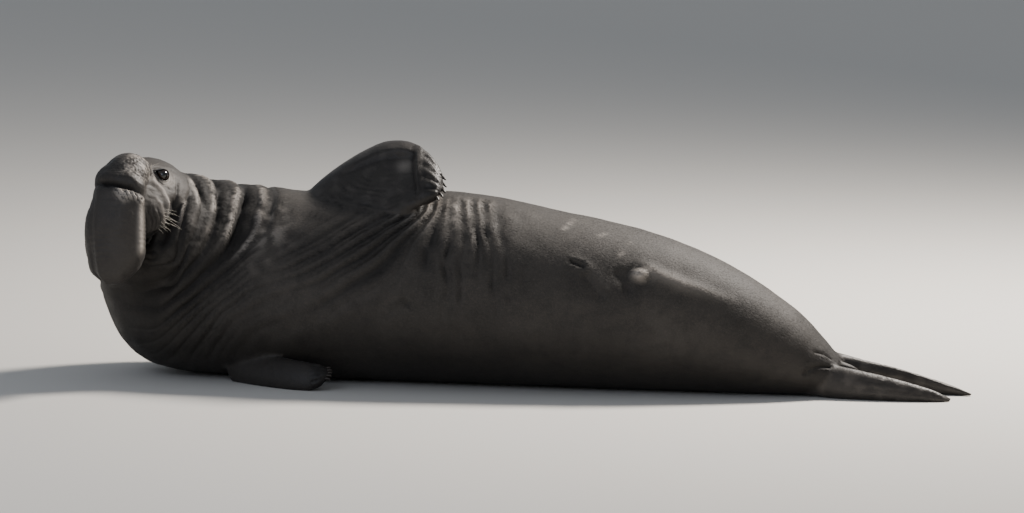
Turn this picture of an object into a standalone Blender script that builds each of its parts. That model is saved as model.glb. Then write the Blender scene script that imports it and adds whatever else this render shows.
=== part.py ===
"""A bull elephant seal lying on its right side, life size, as a still museum model.

Units are metres and +Z is up. The trunk lies along X with the hind flippers at +X. The belly faces -Y and
somewhat upwards, the head is turned to face -Y, and the body rests on flats at z = 0. Every body part is a
closed solid of its own, parted from its neighbours by thin cuts. Sizes go out to the tips of the short coat.
"""

import math

import bmesh
import bpy
import numpy as np

# Whole body. FRAME_SHIFT moves the body so that the middle of its box stands over the origin.
GAP = 0.0004
FLOOR = 0.0
FRAME_SHIFT = (-0.0963, 0.1605, 0.0)
SMOOTH_ANGLE = math.radians(50)

# The trunk and neck are one tube through these cross-sections, from the pelvis to the throat inside the head.
# Each row holds the middle's x, y and z, half the height, half the width, the heading in degrees (0 is along
# -X, 90 is along -Y) and how far the tube climbs there, in degrees. The trunk sinks a little under the floor,
# where it is cut flat.
TRUNK_SECTIONS = (
    (1.640, 0.000, 0.100, 0.090, 0.150, 0.0, 0.0),
    (1.555, 0.000, 0.141, 0.146, 0.196, 0.0, 0.0),
    (1.454, 0.000, 0.189, 0.201, 0.243, 0.0, 0.0),
    (1.328, 0.000, 0.236, 0.248, 0.289, 0.0, 0.0),
    (1.202, 0.000, 0.277, 0.289, 0.328, 0.0, 0.0),
    (1.076, 0.000, 0.311, 0.323, 0.361, 0.0, 0.0),
    (0.949, 0.000, 0.340, 0.352, 0.390, 0.0, 0.0),
    (0.697, 0.000, 0.383, 0.395, 0.436, 0.0, 0.0),
    (0.444, 0.000, 0.412, 0.424, 0.468, 0.0, 0.0),
    (0.192, 0.000, 0.434, 0.446, 0.492, 0.0, 0.0),
    (-0.061, 0.000, 0.458, 0.470, 0.514, 0.0, 0.0),
    (-0.313, 0.000, 0.471, 0.483, 0.529, 0.0, 0.0),
    (-0.566, 0.000, 0.469, 0.481, 0.536, 0.0, 0.0),
    (-0.830, 0.000, 0.463, 0.475, 0.536, 1.0, 2.0),
    (-1.060, 0.000, 0.461, 0.475, 0.530, 3.0, 8.0),
    (-1.270, -0.005, 0.464, 0.492, 0.515, 7.0, 17.0),
    (-1.450, -0.020, 0.478, 0.520, 0.496, 13.0, 26.0),
    (-1.590, -0.055, 0.508, 0.520, 0.468, 21.0, 31.0),
    (-1.688, -0.122, 0.565, 0.484, 0.430, 31.0, 32.0),
    (-1.762, -0.210, 0.640, 0.424, 0.382, 42.0, 29.0),
    (-1.806, -0.305, 0.702, 0.364, 0.340, 54.0, 21.0),
    (-1.834, -0.395, 0.728, 0.308, 0.304, 65.0, 8.0),
    (-1.848, -0.475, 0.706, 0.252, 0.268, 75.0, -8.0),
    (-1.854, -0.545, 0.676, 0.186, 0.222, 82.0, -14.0),
    (-1.856, -0.598, 0.656, 0.110, 0.150, 84.0, -16.0),
)
TRUNK_SIDES = 36
TRUNK_POWER_UP = 2.1
TRUNK_POWER_DOWN = 2.1
TRUNK_MIDDLE = 0.43
# The node that each stretch of the tube belongs to, the x where it ends towards the head, and its ring count.
TRUNK_LENGTHS = (
    ("rump", 0.949, 8),
    ("loin", 0.250, 5),
    ("belly", -0.450, 5),
    ("chest", -1.240, 7),
    ("neck", None, 17),
)

# The head's own frame: the midpoint between the eyes, how far it turns from facing -Y towards -X, how far the
# nose points down and how far the left side is raised, in degrees. Places in it are forward, left and up.
HEAD_ORIGIN = (-1.842, -0.450, 1.032)
HEAD_TURN = 11.0
HEAD_NOD = 12.0
HEAD_ROLL = 3.0
# The skull and cheeks, from the nape to the lips: forward, top, bottom, half width, and the upper power.
HEAD_SECTIONS = (
    (-0.270, -0.050, -0.220, 0.110, 2.0),
    (-0.235, 0.005, -0.270, 0.175, 1.9),
    (-0.160, 0.048, -0.318, 0.222, 1.8),
    (-0.070, 0.066, -0.338, 0.236, 1.7),
    (0.010, 0.068, -0.342, 0.228, 1.65),
    (0.080, 0.062, -0.328, 0.208, 1.7),
    (0.150, 0.035, -0.306, 0.184, 1.8),
    (0.205, -0.020, -0.285, 0.150, 2.0),
    (0.240, -0.080, -0.260, 0.105, 2.0),
)
HEAD_SIDES = 28
HEAD_RINGS = 13
HEAD_MIDDLE = 0.42
HEAD_POWER_DOWN = 2.3
HEAD_ROUNDING = (0.012, 0.014)
# Soft swellings of the head: forward, left, up, radius and height, each made on both sides.
HEAD_SWELLINGS = {
    "whisker_pad": (0.165, 0.120, -0.165, 0.075, 0.034),
    "brow": (-0.005, 0.120, 0.045, 0.045, 0.012),
    "cheek": (-0.080, 0.210, -0.140, 0.110, 0.012),
}
# The lower jaw is the part of the head below and ahead of the corners of the mouth.
MOUTH_CORNER = (0.020, -0.215)
JAW_BOX = (0.400, 0.300, 0.300)

# The long nose rises from the forehead, rolls over in a hump and hangs under its own weight, a little to the
# animal's left. Each row holds how far forward of the eyes the middle is, its height above the floor, half its
# width and half its depth.
NOSE_SIDEWAYS = 0.014
NOSE_SECTIONS = (
    (0.000, 1.016, 0.070, 0.050),
    (0.045, 1.043, 0.094, 0.072),
    (0.110, 1.058, 0.106, 0.090),
    (0.175, 1.036, 0.118, 0.098),
    (0.228, 0.985, 0.130, 0.094),
    (0.264, 0.922, 0.144, 0.106),
    (0.278, 0.850, 0.152, 0.120),
    (0.282, 0.740, 0.156, 0.126),
    (0.282, 0.640, 0.151, 0.123),
    (0.278, 0.570, 0.131, 0.106),
    (0.275, 0.532, 0.092, 0.074),
)
NOSE_TIP_HEIGHT = 0.512
NOSE_POWER = 2.2
NOSE_SIDES = 24
NOSE_RINGS = 17

# Each eyeball's middle in the head's frame, on the left.
EYE_PLACE = (-0.018, 0.138, -0.007)
EYE_RADIUS = 0.031
EYE_SIDES = 16

# A flipper is a flat tube between its two edges. Each row holds the x, y and z of the leading edge, the x, y
# and z of the trailing edge, and half the thickness. The left fore flipper is raised from the shoulder with its
# digits folded, the right one is pressed between the chest and the floor, and the hind ones lie closed.
FORE_LEFT = (
    (-1.041, 0.060, 0.920, -0.961, -0.080, 0.643, 0.120),
    (-0.949, 0.055, 1.005, -0.828, -0.150, 0.697, 0.122),
    (-0.847, 0.050, 1.083, -0.708, -0.210, 0.758, 0.112),
    (-0.750, 0.040, 1.145, -0.600, -0.255, 0.812, 0.098),
    (-0.657, 0.025, 1.188, -0.526, -0.285, 0.853, 0.084),
    (-0.567, 0.005, 1.198, -0.478, -0.300, 0.884, 0.072),
    (-0.496, -0.020, 1.183, -0.436, -0.310, 0.906, 0.063),
    (-0.436, -0.055, 1.147, -0.400, -0.315, 0.922, 0.055),
    (-0.387, -0.100, 1.103, -0.374, -0.315, 0.936, 0.046),
    (-0.352, -0.150, 1.056, -0.354, -0.310, 0.952, 0.033),
)
FORE_RIGHT = (
    (-1.380, -0.250, 0.160, -1.360, -0.330, 0.000, 0.050),
    (-1.240, -0.350, 0.156, -1.220, -0.440, 0.000, 0.047),
    (-1.120, -0.425, 0.150, -1.100, -0.515, 0.000, 0.041),
    (-1.020, -0.475, 0.143, -1.000, -0.556, 0.000, 0.035),
    (-0.940, -0.505, 0.136, -0.922, -0.572, 0.010, 0.029),
    (-0.882, -0.522, 0.127, -0.872, -0.568, 0.038, 0.023),
    (-0.852, -0.530, 0.115, -0.850, -0.556, 0.064, 0.016),
)
HIND_LEFT = (
    (1.490, 0.060, 0.235, 1.500, 0.080, 0.030, 0.066),
    (1.600, 0.078, 0.208, 1.610, 0.105, 0.018, 0.054),
    (1.740, 0.092, 0.172, 1.745, 0.128, 0.006, 0.044),
    (1.885, 0.100, 0.140, 1.885, 0.140, 0.000, 0.036),
    (2.035, 0.102, 0.101, 2.030, 0.142, 0.000, 0.029),
    (2.178, 0.100, 0.060, 2.168, 0.134, 0.000, 0.021),
    (2.305, 0.092, 0.026, 2.285, 0.116, 0.000, 0.013),
)
HIND_RIGHT = (
    (1.480, -0.085, 0.165, 1.490, -0.115, 0.016, 0.064),
    (1.580, -0.100, 0.168, 1.590, -0.138, 0.008, 0.054),
    (1.700, -0.118, 0.154, 1.705, -0.155, 0.000, 0.044),
    (1.835, -0.128, 0.130, 1.835, -0.166, 0.000, 0.036),
    (1.978, -0.131, 0.099, 1.973, -0.166, 0.000, 0.029),
    (2.105, -0.126, 0.066, 2.095, -0.154, 0.000, 0.021),
    (2.215, -0.116, 0.032, 2.200, -0.136, 0.000, 0.013),
)
TAIL = (
    (1.580, 0.036, 0.150, 1.580, -0.044, 0.150, 0.032),
    (1.650, 0.030, 0.144, 1.650, -0.040, 0.144, 0.026),
    (1.700, 0.022, 0.134, 1.700, -0.032, 0.134, 0.018),
    (1.735, 0.008, 0.124, 1.735, -0.018, 0.124, 0.010),
)
FLIPPER_SIDES = 18
FORE_RINGS = 14
HIND_RINGS = 13
TAIL_RINGS = 6
TIP_REACH = 0.4

# Five blunt claws stand along the end of each fore flipper.
CLAWS = 5
CLAW_LENGTH = 0.046
CLAW_RADIUS = 0.0085
# Each row holds the share of a claw's length and its radius there, as a share of the root's.
CLAW_SECTIONS = ((0.0, 1.0), (0.3, 0.97), (0.6, 0.78), (0.85, 0.48), (0.97, 0.22))
CLAW_FLATNESS = 0.8
CLAW_SIDES = 6
CLAW_SINK = 0.020
CLAW_SPAN = (0.10, 0.92)
CLAW_FAN = 0.5
CLAW_CURL = 0.25
CLAW_BENDS = {"left": (0.3, -0.6, -0.7), "right": (0.0, -0.2, -0.5)}

# Colour and roughness of each finish.
FINISHES = {
    "fur": ((0.120, 0.098, 0.078), 0.62),
    "nose_skin": ((0.150, 0.122, 0.102), 0.55),
    "flipper_skin": ((0.095, 0.078, 0.064), 0.50),
    "eye": ((0.012, 0.009, 0.008), 0.06),
    "claw": ((0.030, 0.026, 0.022), 0.35),
}
UPRIGHT = np.array([0.0, 0.0, 1.0])


def clear_scene():
    """Removes what a new file holds."""
    for item in list(bpy.data.objects):
        bpy.data.objects.remove(item, do_unlink=True)


def finish(name):
    """The material of one finish."""
    material = bpy.data.materials.get(name)
    if material is None:
        colour, roughness = FINISHES[name]
        material = bpy.data.materials.new(name)
        material.use_nodes = True
        shader = material.node_tree.nodes["Principled BSDF"]
        shader.inputs["Base Color"].default_value = (*colour, 1.0)
        shader.inputs["Roughness"].default_value = roughness
        shader.inputs["Metallic"].default_value = 0.0
        material.diffuse_color = (*colour, 1.0)
    return material


def along(points):
    """The distance of each point from the first, measured from point to point."""
    steps = np.linalg.norm(np.diff(points, axis=0), axis=1)
    return np.concatenate([[0.0], np.cumsum(steps)])


def unit(vectors):
    return vectors / np.linalg.norm(vectors, axis=-1, keepdims=True)


def smooth_rows(keys, rows, places):
    """Each column at the places: cubic curves through the rows, with the slopes of their neighbours."""
    slopes = np.gradient(rows, keys, axis=0)
    index = np.clip(np.searchsorted(keys, places, side="right") - 1, 0, len(keys) - 2)
    width = (keys[index + 1] - keys[index])[:, None]
    part = (places[:, None] - keys[index][:, None]) / width
    start = (1 + 2 * part) * (1 - part) ** 2
    end = part**2 * (3 - 2 * part)
    leave = part * (1 - part) ** 2 * width
    arrive = -(part**2) * (1 - part) * width
    return start * rows[index] + end * rows[index + 1] + leave * slopes[index] + arrive * slopes[index + 1]


def rings_of(middles, side, up, half_width, rise, drop, power_up, power_down, sides):
    """Rounded cross-sections: an ellipse whose powers square its shoulders, taller above or below its middle."""
    turn = np.linspace(0.0, 2 * math.pi, sides, endpoint=False)[None, :]
    cosine = np.cos(turn)
    sine = np.sin(turn)
    power = np.where(sine >= 0, np.reshape(power_up, (-1, 1)), np.reshape(power_down, (-1, 1)))
    across = np.sign(cosine) * np.abs(cosine) ** (2 / power) * half_width[:, None]
    height = np.where(sine >= 0, rise[:, None], drop[:, None])
    upward = np.sign(sine) * np.abs(sine) ** (2 / power) * height
    rings = middles[:, None] + across[..., None] * side[:, None] + upward[..., None] * up[:, None]
    rings[..., 2] = np.maximum(rings[..., 2], FLOOR)
    return rings


def solid(rings, start=None, end=None):
    """A closed mesh through the rings, each end closed to a point, which is the ring's middle if none is given."""
    bm = bmesh.new()
    loops = [[bm.verts.new(point) for point in ring] for ring in rings]
    tips = (
        bm.verts.new(rings[0].mean(axis=0) if start is None else start),
        bm.verts.new(rings[-1].mean(axis=0) if end is None else end),
    )
    for i in range(len(loops[0])):
        j = (i + 1) % len(loops[0])
        for low, high in zip(loops[:-1], loops[1:]):
            bm.faces.new((low[i], low[j], high[j], high[i]))
        bm.faces.new((loops[0][j], loops[0][i], tips[0]))
        bm.faces.new((loops[-1][i], loops[-1][j], tips[1]))
    bmesh.ops.recalc_face_normals(bm, faces=bm.faces)
    bmesh.ops.triangulate(bm, faces=bm.faces)
    mesh = bpy.data.meshes.new("solid")
    bm.to_mesh(mesh)
    bm.free()
    return mesh


def place(name, mesh, finish_name):
    """One body part of the model, from its mesh in the body's own frame."""
    mesh.name = name
    item = bpy.data.objects.new(name, mesh)
    bpy.context.scene.collection.objects.link(item)
    item.location = FRAME_SHIFT
    item.data.materials.append(finish(finish_name))
    item.data.shade_smooth()
    item.data.set_sharp_from_angle(angle=SMOOTH_ANGLE)
    return item


def guide(name, mesh):
    """A shape that trims its neighbours and is not part of the model."""
    item = place(name + "_guide", mesh, "fur")
    item.hide_render = True
    item.display_type = "WIRE"
    return item


def trim(item, *guides, keep_inside=False):
    """Cuts the guides' shapes out of a body part, or keeps only what is inside them."""
    for cutter in guides:
        cut = item.modifiers.new("trim_" + cutter.name, "BOOLEAN")
        cut.operation = "INTERSECT" if keep_inside else "DIFFERENCE"
        cut.solver = "EXACT"
        cut.object = cutter


def trunk_rows():
    """The trunk's rows at each ring of every named length."""
    rows = np.array(TRUNK_SECTIONS)
    keys = along(rows[:, :3])
    lengths = {}
    start = 0.0
    for name, end_x, rings in TRUNK_LENGTHS:
        end = keys[-1] if end_x is None else float(np.interp(-end_x, -rows[:, 0], keys))
        lengths[name] = smooth_rows(keys, rows, np.linspace(start, end, rings))
        start = end
    return lengths


def trunk_rings(rows, grow=0.0):
    """The tube's rings at these rows, stood out by grow and cut flat at the floor."""
    heading = np.radians(rows[:, 5])
    climb = np.radians(rows[:, 6])
    level = np.zeros(len(rows))
    back = np.stack([np.cos(heading), np.sin(heading), level], axis=1)
    side = np.stack([np.sin(heading), -np.cos(heading), level], axis=1)
    up = np.sin(climb)[:, None] * back + np.cos(climb)[:, None] * UPRIGHT
    half_height = rows[:, 3]
    lowered = (2 * TRUNK_MIDDLE - 1) * half_height
    return rings_of(
        rows[:, :3] + lowered[:, None] * up,
        side,
        up,
        rows[:, 4] + grow,
        half_height - lowered + grow,
        half_height + lowered + grow,
        TRUNK_POWER_UP,
        TRUNK_POWER_DOWN,
        TRUNK_SIDES,
    )


def build_trunk():
    """The trunk's lengths, each one gap short of the last, and the grown tube that trims what lies against it."""
    lengths = trunk_rows()
    for name, rows in lengths.items():
        rings = trunk_rings(rows)
        onward = rings[1].mean(axis=0) - rings[0].mean(axis=0)
        onward[2] = 0.0
        rings[0] += GAP * unit(onward)
        item = place(name, solid(rings), "fur")
        if name == "neck":
            trim(item, guide("skull", head_mesh(GAP)))
    whole = np.concatenate([rows[1:] for rows in lengths.values()])
    rings = trunk_rings(np.concatenate([lengths["rump"][:1], whole]), GAP)
    rings[0, :, 0] += GAP
    rings[-1] += GAP * unit(rings[-1].mean(axis=0) - rings[-2].mean(axis=0))
    return guide("trunk", solid(rings))


def head_axes():
    """The head's forward, left and up directions."""
    turn = math.radians(HEAD_TURN)
    nod = math.radians(HEAD_NOD)
    roll = math.radians(HEAD_ROLL)
    forward = np.array([-math.sin(turn) * math.cos(nod), -math.cos(turn) * math.cos(nod), -math.sin(nod)])
    left = np.array([math.cos(turn), -math.sin(turn), 0.0])
    up = np.cross(forward, left)
    return np.array([forward, left * math.cos(roll) + up * math.sin(roll), up * math.cos(roll) - left * math.sin(roll)])


def head_place(forward, left, up):
    """A place given in the head's frame, in the body's."""
    return np.array(HEAD_ORIGIN) + np.array([forward, left, up]) @ head_axes()


def head_mesh(grow=0.0):
    """The skull, cheeks, lips and chin, with the swellings of the brow, cheek and whisker pad."""
    rows = np.array(HEAD_SECTIONS)
    rows = smooth_rows(rows[:, 0], rows, np.linspace(rows[0, 0], rows[-1, 0], HEAD_RINGS))
    forward, left, up = head_axes()
    height = rows[:, 1] - rows[:, 2] + 2 * grow
    middle = rows[:, 2] - grow + HEAD_MIDDLE * height
    rings = rings_of(
        np.array(HEAD_ORIGIN) + rows[:, 0, None] * forward + middle[:, None] * up,
        np.tile(left, (HEAD_RINGS, 1)),
        np.tile(up, (HEAD_RINGS, 1)),
        rows[:, 3] + grow,
        (1 - HEAD_MIDDLE) * height,
        HEAD_MIDDLE * height,
        rows[:, 4],
        HEAD_POWER_DOWN,
        HEAD_SIDES,
    )
    outward = unit(rings - rings.mean(axis=1, keepdims=True))
    for ahead, aside, above, radius, lift in HEAD_SWELLINGS.values():
        for hand in (1, -1):
            spot = head_place(ahead, hand * aside, above)
            near = np.exp(-((rings - spot) ** 2).sum(axis=-1) / radius**2)
            rings = rings + (lift * near)[..., None] * outward
    rings[0] -= grow * forward
    rings[-1] += grow * forward
    back = rings[0].mean(axis=0) - HEAD_ROUNDING[0] * forward
    front = rings[-1].mean(axis=0) + HEAD_ROUNDING[1] * forward
    return solid(rings, back, front)


def jaw_mesh(grow=0.0):
    """A box in the head's frame that holds the lower jaw, its upper rear edge at the corners of the mouth."""
    long, wide, deep = JAW_BOX
    corners = bmesh.new()
    bmesh.ops.create_cube(corners, size=1.0)
    for corner in corners.verts:
        x, y, z = corner.co
        corner.co = head_place(
            MOUTH_CORNER[0] - grow + (x + 0.5) * long,
            y * 2 * wide,
            MOUTH_CORNER[1] + grow + (z - 0.5) * deep,
        )
    bmesh.ops.triangulate(corners, faces=corners.faces)
    mesh = bpy.data.meshes.new("jaw_box")
    corners.to_mesh(mesh)
    corners.free()
    return mesh


def nose_mesh():
    """The nose's hump and its hanging length, as a tube along a path in the head's upright middle plane."""
    rows = np.array(NOSE_SECTIONS)
    keys = along(rows[:, :2])
    rows = smooth_rows(keys, rows, np.linspace(0.0, keys[-1], NOSE_RINGS))
    turn = math.radians(HEAD_TURN)
    ahead = np.array([-math.sin(turn), -math.cos(turn), 0.0])
    side = np.tile([math.cos(turn), -math.sin(turn), 0.0], (NOSE_RINGS, 1))
    base = np.array([HEAD_ORIGIN[0], HEAD_ORIGIN[1], 0.0])
    middles = base + rows[:, 0, None] * ahead + rows[:, 1, None] * UPRIGHT + NOSE_SIDEWAYS * side
    path = unit(np.gradient(middles, axis=0))
    half_depth = rows[:, 3]
    rings = rings_of(
        middles,
        side,
        np.cross(side, path),
        rows[:, 2],
        half_depth,
        half_depth,
        NOSE_POWER,
        NOSE_POWER,
        NOSE_SIDES,
    )
    tip = middles[-1].copy()
    tip[2] = NOSE_TIP_HEIGHT
    return solid(rings, middles[0] - HEAD_ROUNDING[0] * path[0], tip)


def ball_mesh(middle, radius):
    """A faceted ball."""
    ball = bmesh.new()
    bmesh.ops.create_uvsphere(ball, u_segments=EYE_SIDES, v_segments=EYE_SIDES // 2, radius=radius)
    bmesh.ops.translate(ball, verts=ball.verts, vec=middle)
    bmesh.ops.triangulate(ball, faces=ball.faces)
    mesh = bpy.data.meshes.new("ball")
    ball.to_mesh(mesh)
    ball.free()
    return mesh


def build_head(trunk_guide):
    """The head, lower jaw, nose and eyes, each trimmed by what it lies against."""
    head = place("head", head_mesh(), "fur")
    jaw = place("lower_jaw", head_mesh(), "fur")
    nose = place("nose", nose_mesh(), "nose_skin")
    trim(head, guide("mouth", jaw_mesh(GAP)))
    trim(jaw, guide("jaw", jaw_mesh()), keep_inside=True)
    for hand, name in ((1, "eye_left"), (-1, "eye_right")):
        middle = head_place(EYE_PLACE[0], hand * EYE_PLACE[1], EYE_PLACE[2])
        place(name, ball_mesh(middle, EYE_RADIUS), "eye")
        trim(head, guide(name, ball_mesh(middle, EYE_RADIUS + GAP)))
    trim(nose, guide("head", head_mesh(GAP)), trunk_guide)


def flipper_rings(table, rings, grow=0.0):
    """A flipper's rings, each an ellipse that spans its two edges, with the path's direction at each."""
    rows = np.array(table)
    keys = along((rows[:, :3] + rows[:, 3:6]) / 2)
    rows = smooth_rows(keys, rows, np.linspace(0.0, keys[-1], rings))
    middles = (rows[:, :3] + rows[:, 3:6]) / 2
    path = unit(np.gradient(middles, axis=0))
    span = rows[:, :3] - rows[:, 3:6]
    half_breadth = np.linalg.norm(span, axis=1) / 2 + grow
    breadth = unit(span)
    shape = rings_of(
        middles,
        unit(np.cross(breadth, path)),
        breadth,
        rows[:, 6] + grow,
        half_breadth,
        half_breadth,
        2.0,
        2.0,
        FLIPPER_SIDES,
    )
    return shape, path, rows


def flipper_mesh(table, rings, grow=0.0):
    """A flipper with a blunt rounded tip."""
    shape, path, rows = flipper_rings(table, rings, grow)
    reach = TIP_REACH * np.linalg.norm(rows[-1, :3] - rows[-1, 3:6]) / 2
    return solid(shape, end=shape[-1].mean(axis=0) + (reach + grow) * path[-1])


def claw_mesh(root, direction, bend):
    """A curved cone with a round tip, which bends from its direction as it goes."""
    share, radius = np.array(CLAW_SECTIONS).T
    radius = CLAW_RADIUS * radius
    middles = root + CLAW_LENGTH * (share[:, None] * direction + CLAW_CURL * share[:, None] ** 2 * bend)
    side = unit(np.cross(direction, bend))
    up = np.cross(side, direction)
    rings = rings_of(
        middles,
        np.tile(side, (len(share), 1)),
        np.tile(up, (len(share), 1)),
        radius,
        CLAW_FLATNESS * radius,
        CLAW_FLATNESS * radius,
        2.0,
        2.0,
        CLAW_SIDES,
    )
    return solid(rings, end=root + CLAW_LENGTH * (direction + CLAW_CURL * bend))


def build_claws(hand, table, flipper_guide, bend):
    """The claws along the end of a fore flipper, from its leading edge to its trailing one."""
    path = flipper_rings(table, FORE_RINGS)[1][-1]
    lead = np.array(table[-1][:3])
    trail = np.array(table[-1][3:6])
    for index, share in enumerate(np.linspace(*CLAW_SPAN, CLAWS)):
        reach = TIP_REACH * np.linalg.norm(lead - trail) / 2 * math.sin(math.pi * share) - CLAW_SINK
        root = lead + share * (trail - lead) + reach * path
        fan = unit(path + CLAW_FAN * (0.5 - share) * unit(lead - trail))
        claw = place(f"claw_{hand}_{index + 1}", claw_mesh(root, fan, bend), "claw")
        trim(claw, flipper_guide)


def build_flippers(trunk_guide):
    """The fore flippers, hind flippers and tail, cut to the trunk that they grow from."""
    for hand, table in (("left", FORE_LEFT), ("right", FORE_RIGHT)):
        name = f"fore_flipper_{hand}"
        trim(place(name, flipper_mesh(table, FORE_RINGS), "flipper_skin"), trunk_guide)
        flipper_guide = guide(name, flipper_mesh(table, FORE_RINGS, GAP))
        build_claws(hand, table, flipper_guide, np.array(CLAW_BENDS[hand]))
    for name, table, rings in (
        ("hind_flipper_left", HIND_LEFT, HIND_RINGS),
        ("hind_flipper_right", HIND_RIGHT, HIND_RINGS),
        ("tail", TAIL, TAIL_RINGS),
    ):
        limb = place(name, flipper_mesh(table, rings), "fur" if name == "tail" else "flipper_skin")
        trim(limb, trunk_guide)


def main():
    clear_scene()
    trunk_guide = build_trunk()
    build_head(trunk_guide)
    build_flippers(trunk_guide)


main()
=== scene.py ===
"""The looks of a bull elephant seal that lies on its side: one creased skin, its short coat, eyes, whiskers
and claws, on a pale floor in soft light, seen from where the photograph was taken.
"""

import math

import bmesh
import bpy
import numpy as np
from mathutils import Matrix, Vector


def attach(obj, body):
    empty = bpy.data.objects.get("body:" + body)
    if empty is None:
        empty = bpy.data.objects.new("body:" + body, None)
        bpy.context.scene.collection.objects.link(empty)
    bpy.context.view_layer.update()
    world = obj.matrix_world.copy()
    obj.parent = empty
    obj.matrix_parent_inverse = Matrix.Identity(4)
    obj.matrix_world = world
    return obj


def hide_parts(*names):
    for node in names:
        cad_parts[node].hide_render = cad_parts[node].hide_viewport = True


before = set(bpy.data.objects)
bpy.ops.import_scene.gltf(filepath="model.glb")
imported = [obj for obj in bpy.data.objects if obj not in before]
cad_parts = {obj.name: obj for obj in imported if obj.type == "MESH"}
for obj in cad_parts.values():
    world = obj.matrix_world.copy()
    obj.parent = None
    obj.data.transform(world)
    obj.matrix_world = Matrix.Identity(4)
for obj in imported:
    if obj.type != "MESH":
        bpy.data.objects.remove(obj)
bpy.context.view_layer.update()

# The body's own frame is moved by this to stand the middle of its box over the origin.
SHIFT = np.array([-0.0963, 0.1605, 0.0])
UP = np.array([0.0, 0.0, 1.0])
COAT_DEPTH = 0.006
# Skin and coat stay this far above the floor. The flippers' lower edges sink by REST_SINK onto it.
CLEARANCE = 0.001
REST_SINK, REST_HEIGHT = 0.008, 0.080
# The share of triangles that the trunk keeps, beside the head's, and the steps between them.
TRUNK_KEEP, KEEP_STEPS = 0.25, 8
# The grid that joins the parts, and the share of the smoothing passes that a grid of its size needs.
FINE_VOXEL = 0.006
VOXEL = FINE_VOXEL
PASSES = (FINE_VOXEL / VOXEL) ** 2
# Smoothing passes at the fine grid: to fill hollows between parts, to blend parts, and to blend bareness.
HOLLOW_PASSES, SHARE_PASSES, BARE_PASSES = 60, 14, 70
SKIN_TRIANGLES = 192_000
TUFTS = 48_000

# Trunk and neck, from the pelvis to the throat: middle x, y, z, half height, half width, heading, climb.
TRUNK = (
    (1.640, 0.000, 0.100, 0.090, 0.150, 0.0, 0.0),
    (1.555, 0.000, 0.141, 0.146, 0.196, 0.0, 0.0),
    (1.454, 0.000, 0.189, 0.201, 0.243, 0.0, 0.0),
    (1.328, 0.000, 0.236, 0.248, 0.289, 0.0, 0.0),
    (1.202, 0.000, 0.277, 0.289, 0.328, 0.0, 0.0),
    (1.076, 0.000, 0.311, 0.323, 0.361, 0.0, 0.0),
    (0.949, 0.000, 0.340, 0.352, 0.390, 0.0, 0.0),
    (0.697, 0.000, 0.383, 0.395, 0.436, 0.0, 0.0),
    (0.444, 0.000, 0.412, 0.424, 0.468, 0.0, 0.0),
    (0.192, 0.000, 0.434, 0.446, 0.492, 0.0, 0.0),
    (-0.061, 0.000, 0.458, 0.470, 0.514, 0.0, 0.0),
    (-0.313, 0.000, 0.471, 0.483, 0.529, 0.0, 0.0),
    (-0.566, 0.000, 0.469, 0.481, 0.536, 0.0, 0.0),
    (-0.830, 0.000, 0.463, 0.475, 0.536, 1.0, 2.0),
    (-1.060, 0.000, 0.461, 0.475, 0.530, 3.0, 8.0),
    (-1.270, -0.005, 0.464, 0.492, 0.515, 7.0, 17.0),
    (-1.450, -0.020, 0.478, 0.520, 0.496, 13.0, 26.0),
    (-1.590, -0.055, 0.508, 0.520, 0.468, 21.0, 31.0),
    (-1.688, -0.122, 0.565, 0.484, 0.430, 31.0, 32.0),
    (-1.762, -0.210, 0.640, 0.424, 0.382, 42.0, 29.0),
    (-1.806, -0.305, 0.702, 0.364, 0.340, 54.0, 21.0),
    (-1.834, -0.395, 0.728, 0.308, 0.304, 65.0, 8.0),
    (-1.848, -0.475, 0.706, 0.252, 0.268, 75.0, -8.0),
    (-1.854, -0.545, 0.676, 0.186, 0.222, 82.0, -14.0),
    (-1.856, -0.598, 0.656, 0.110, 0.150, 84.0, -16.0),
)
TRUNK_POWER = 2.1
TRUNK_MIDDLE = 0.43

# The head's frame: the point between the eyes, and its turn, nod and roll in degrees.
HEAD_ORIGIN = np.array([-1.842, -0.450, 1.032])
HEAD_TURN, HEAD_NOD, HEAD_ROLL = 11.0, 12.0, 3.0
# Skull and cheeks: forward, top, bottom, half width, upper power.
HEAD = (
    (-0.270, -0.050, -0.220, 0.110, 2.0),
    (-0.235, 0.005, -0.270, 0.175, 1.9),
    (-0.160, 0.048, -0.318, 0.222, 1.8),
    (-0.070, 0.066, -0.338, 0.236, 1.7),
    (0.010, 0.068, -0.342, 0.228, 1.65),
    (0.080, 0.062, -0.328, 0.208, 1.7),
    (0.150, 0.035, -0.306, 0.184, 1.8),
    (0.205, -0.020, -0.285, 0.150, 2.0),
    (0.240, -0.080, -0.260, 0.105, 2.0),
)
HEAD_MIDDLE = 0.42
HEAD_POWER_DOWN = 2.3
HEAD_ROUNDING = (0.012, 0.014)
# Soft swellings: forward, left, up, radius, height, on both sides.
SWELLINGS = (
    (0.165, 0.120, -0.165, 0.075, 0.034),
    (-0.005, 0.120, 0.045, 0.045, 0.012),
    (-0.080, 0.210, -0.140, 0.110, 0.012),
)
# The nose's path, from the forehead over the hump to the tip: forward, height, half width, half depth.
NOSE_SIDEWAYS = 0.014
NOSE = (
    (0.000, 1.016, 0.070, 0.050),
    (0.045, 1.043, 0.094, 0.072),
    (0.110, 1.058, 0.106, 0.090),
    (0.175, 1.036, 0.118, 0.098),
    (0.228, 0.985, 0.130, 0.094),
    (0.264, 0.922, 0.144, 0.106),
    (0.278, 0.850, 0.152, 0.120),
    (0.282, 0.740, 0.156, 0.126),
    (0.282, 0.640, 0.151, 0.123),
    (0.278, 0.570, 0.131, 0.106),
    (0.275, 0.532, 0.092, 0.074),
)
NOSE_TIP = 0.512
NOSE_POWER = 2.2

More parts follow.
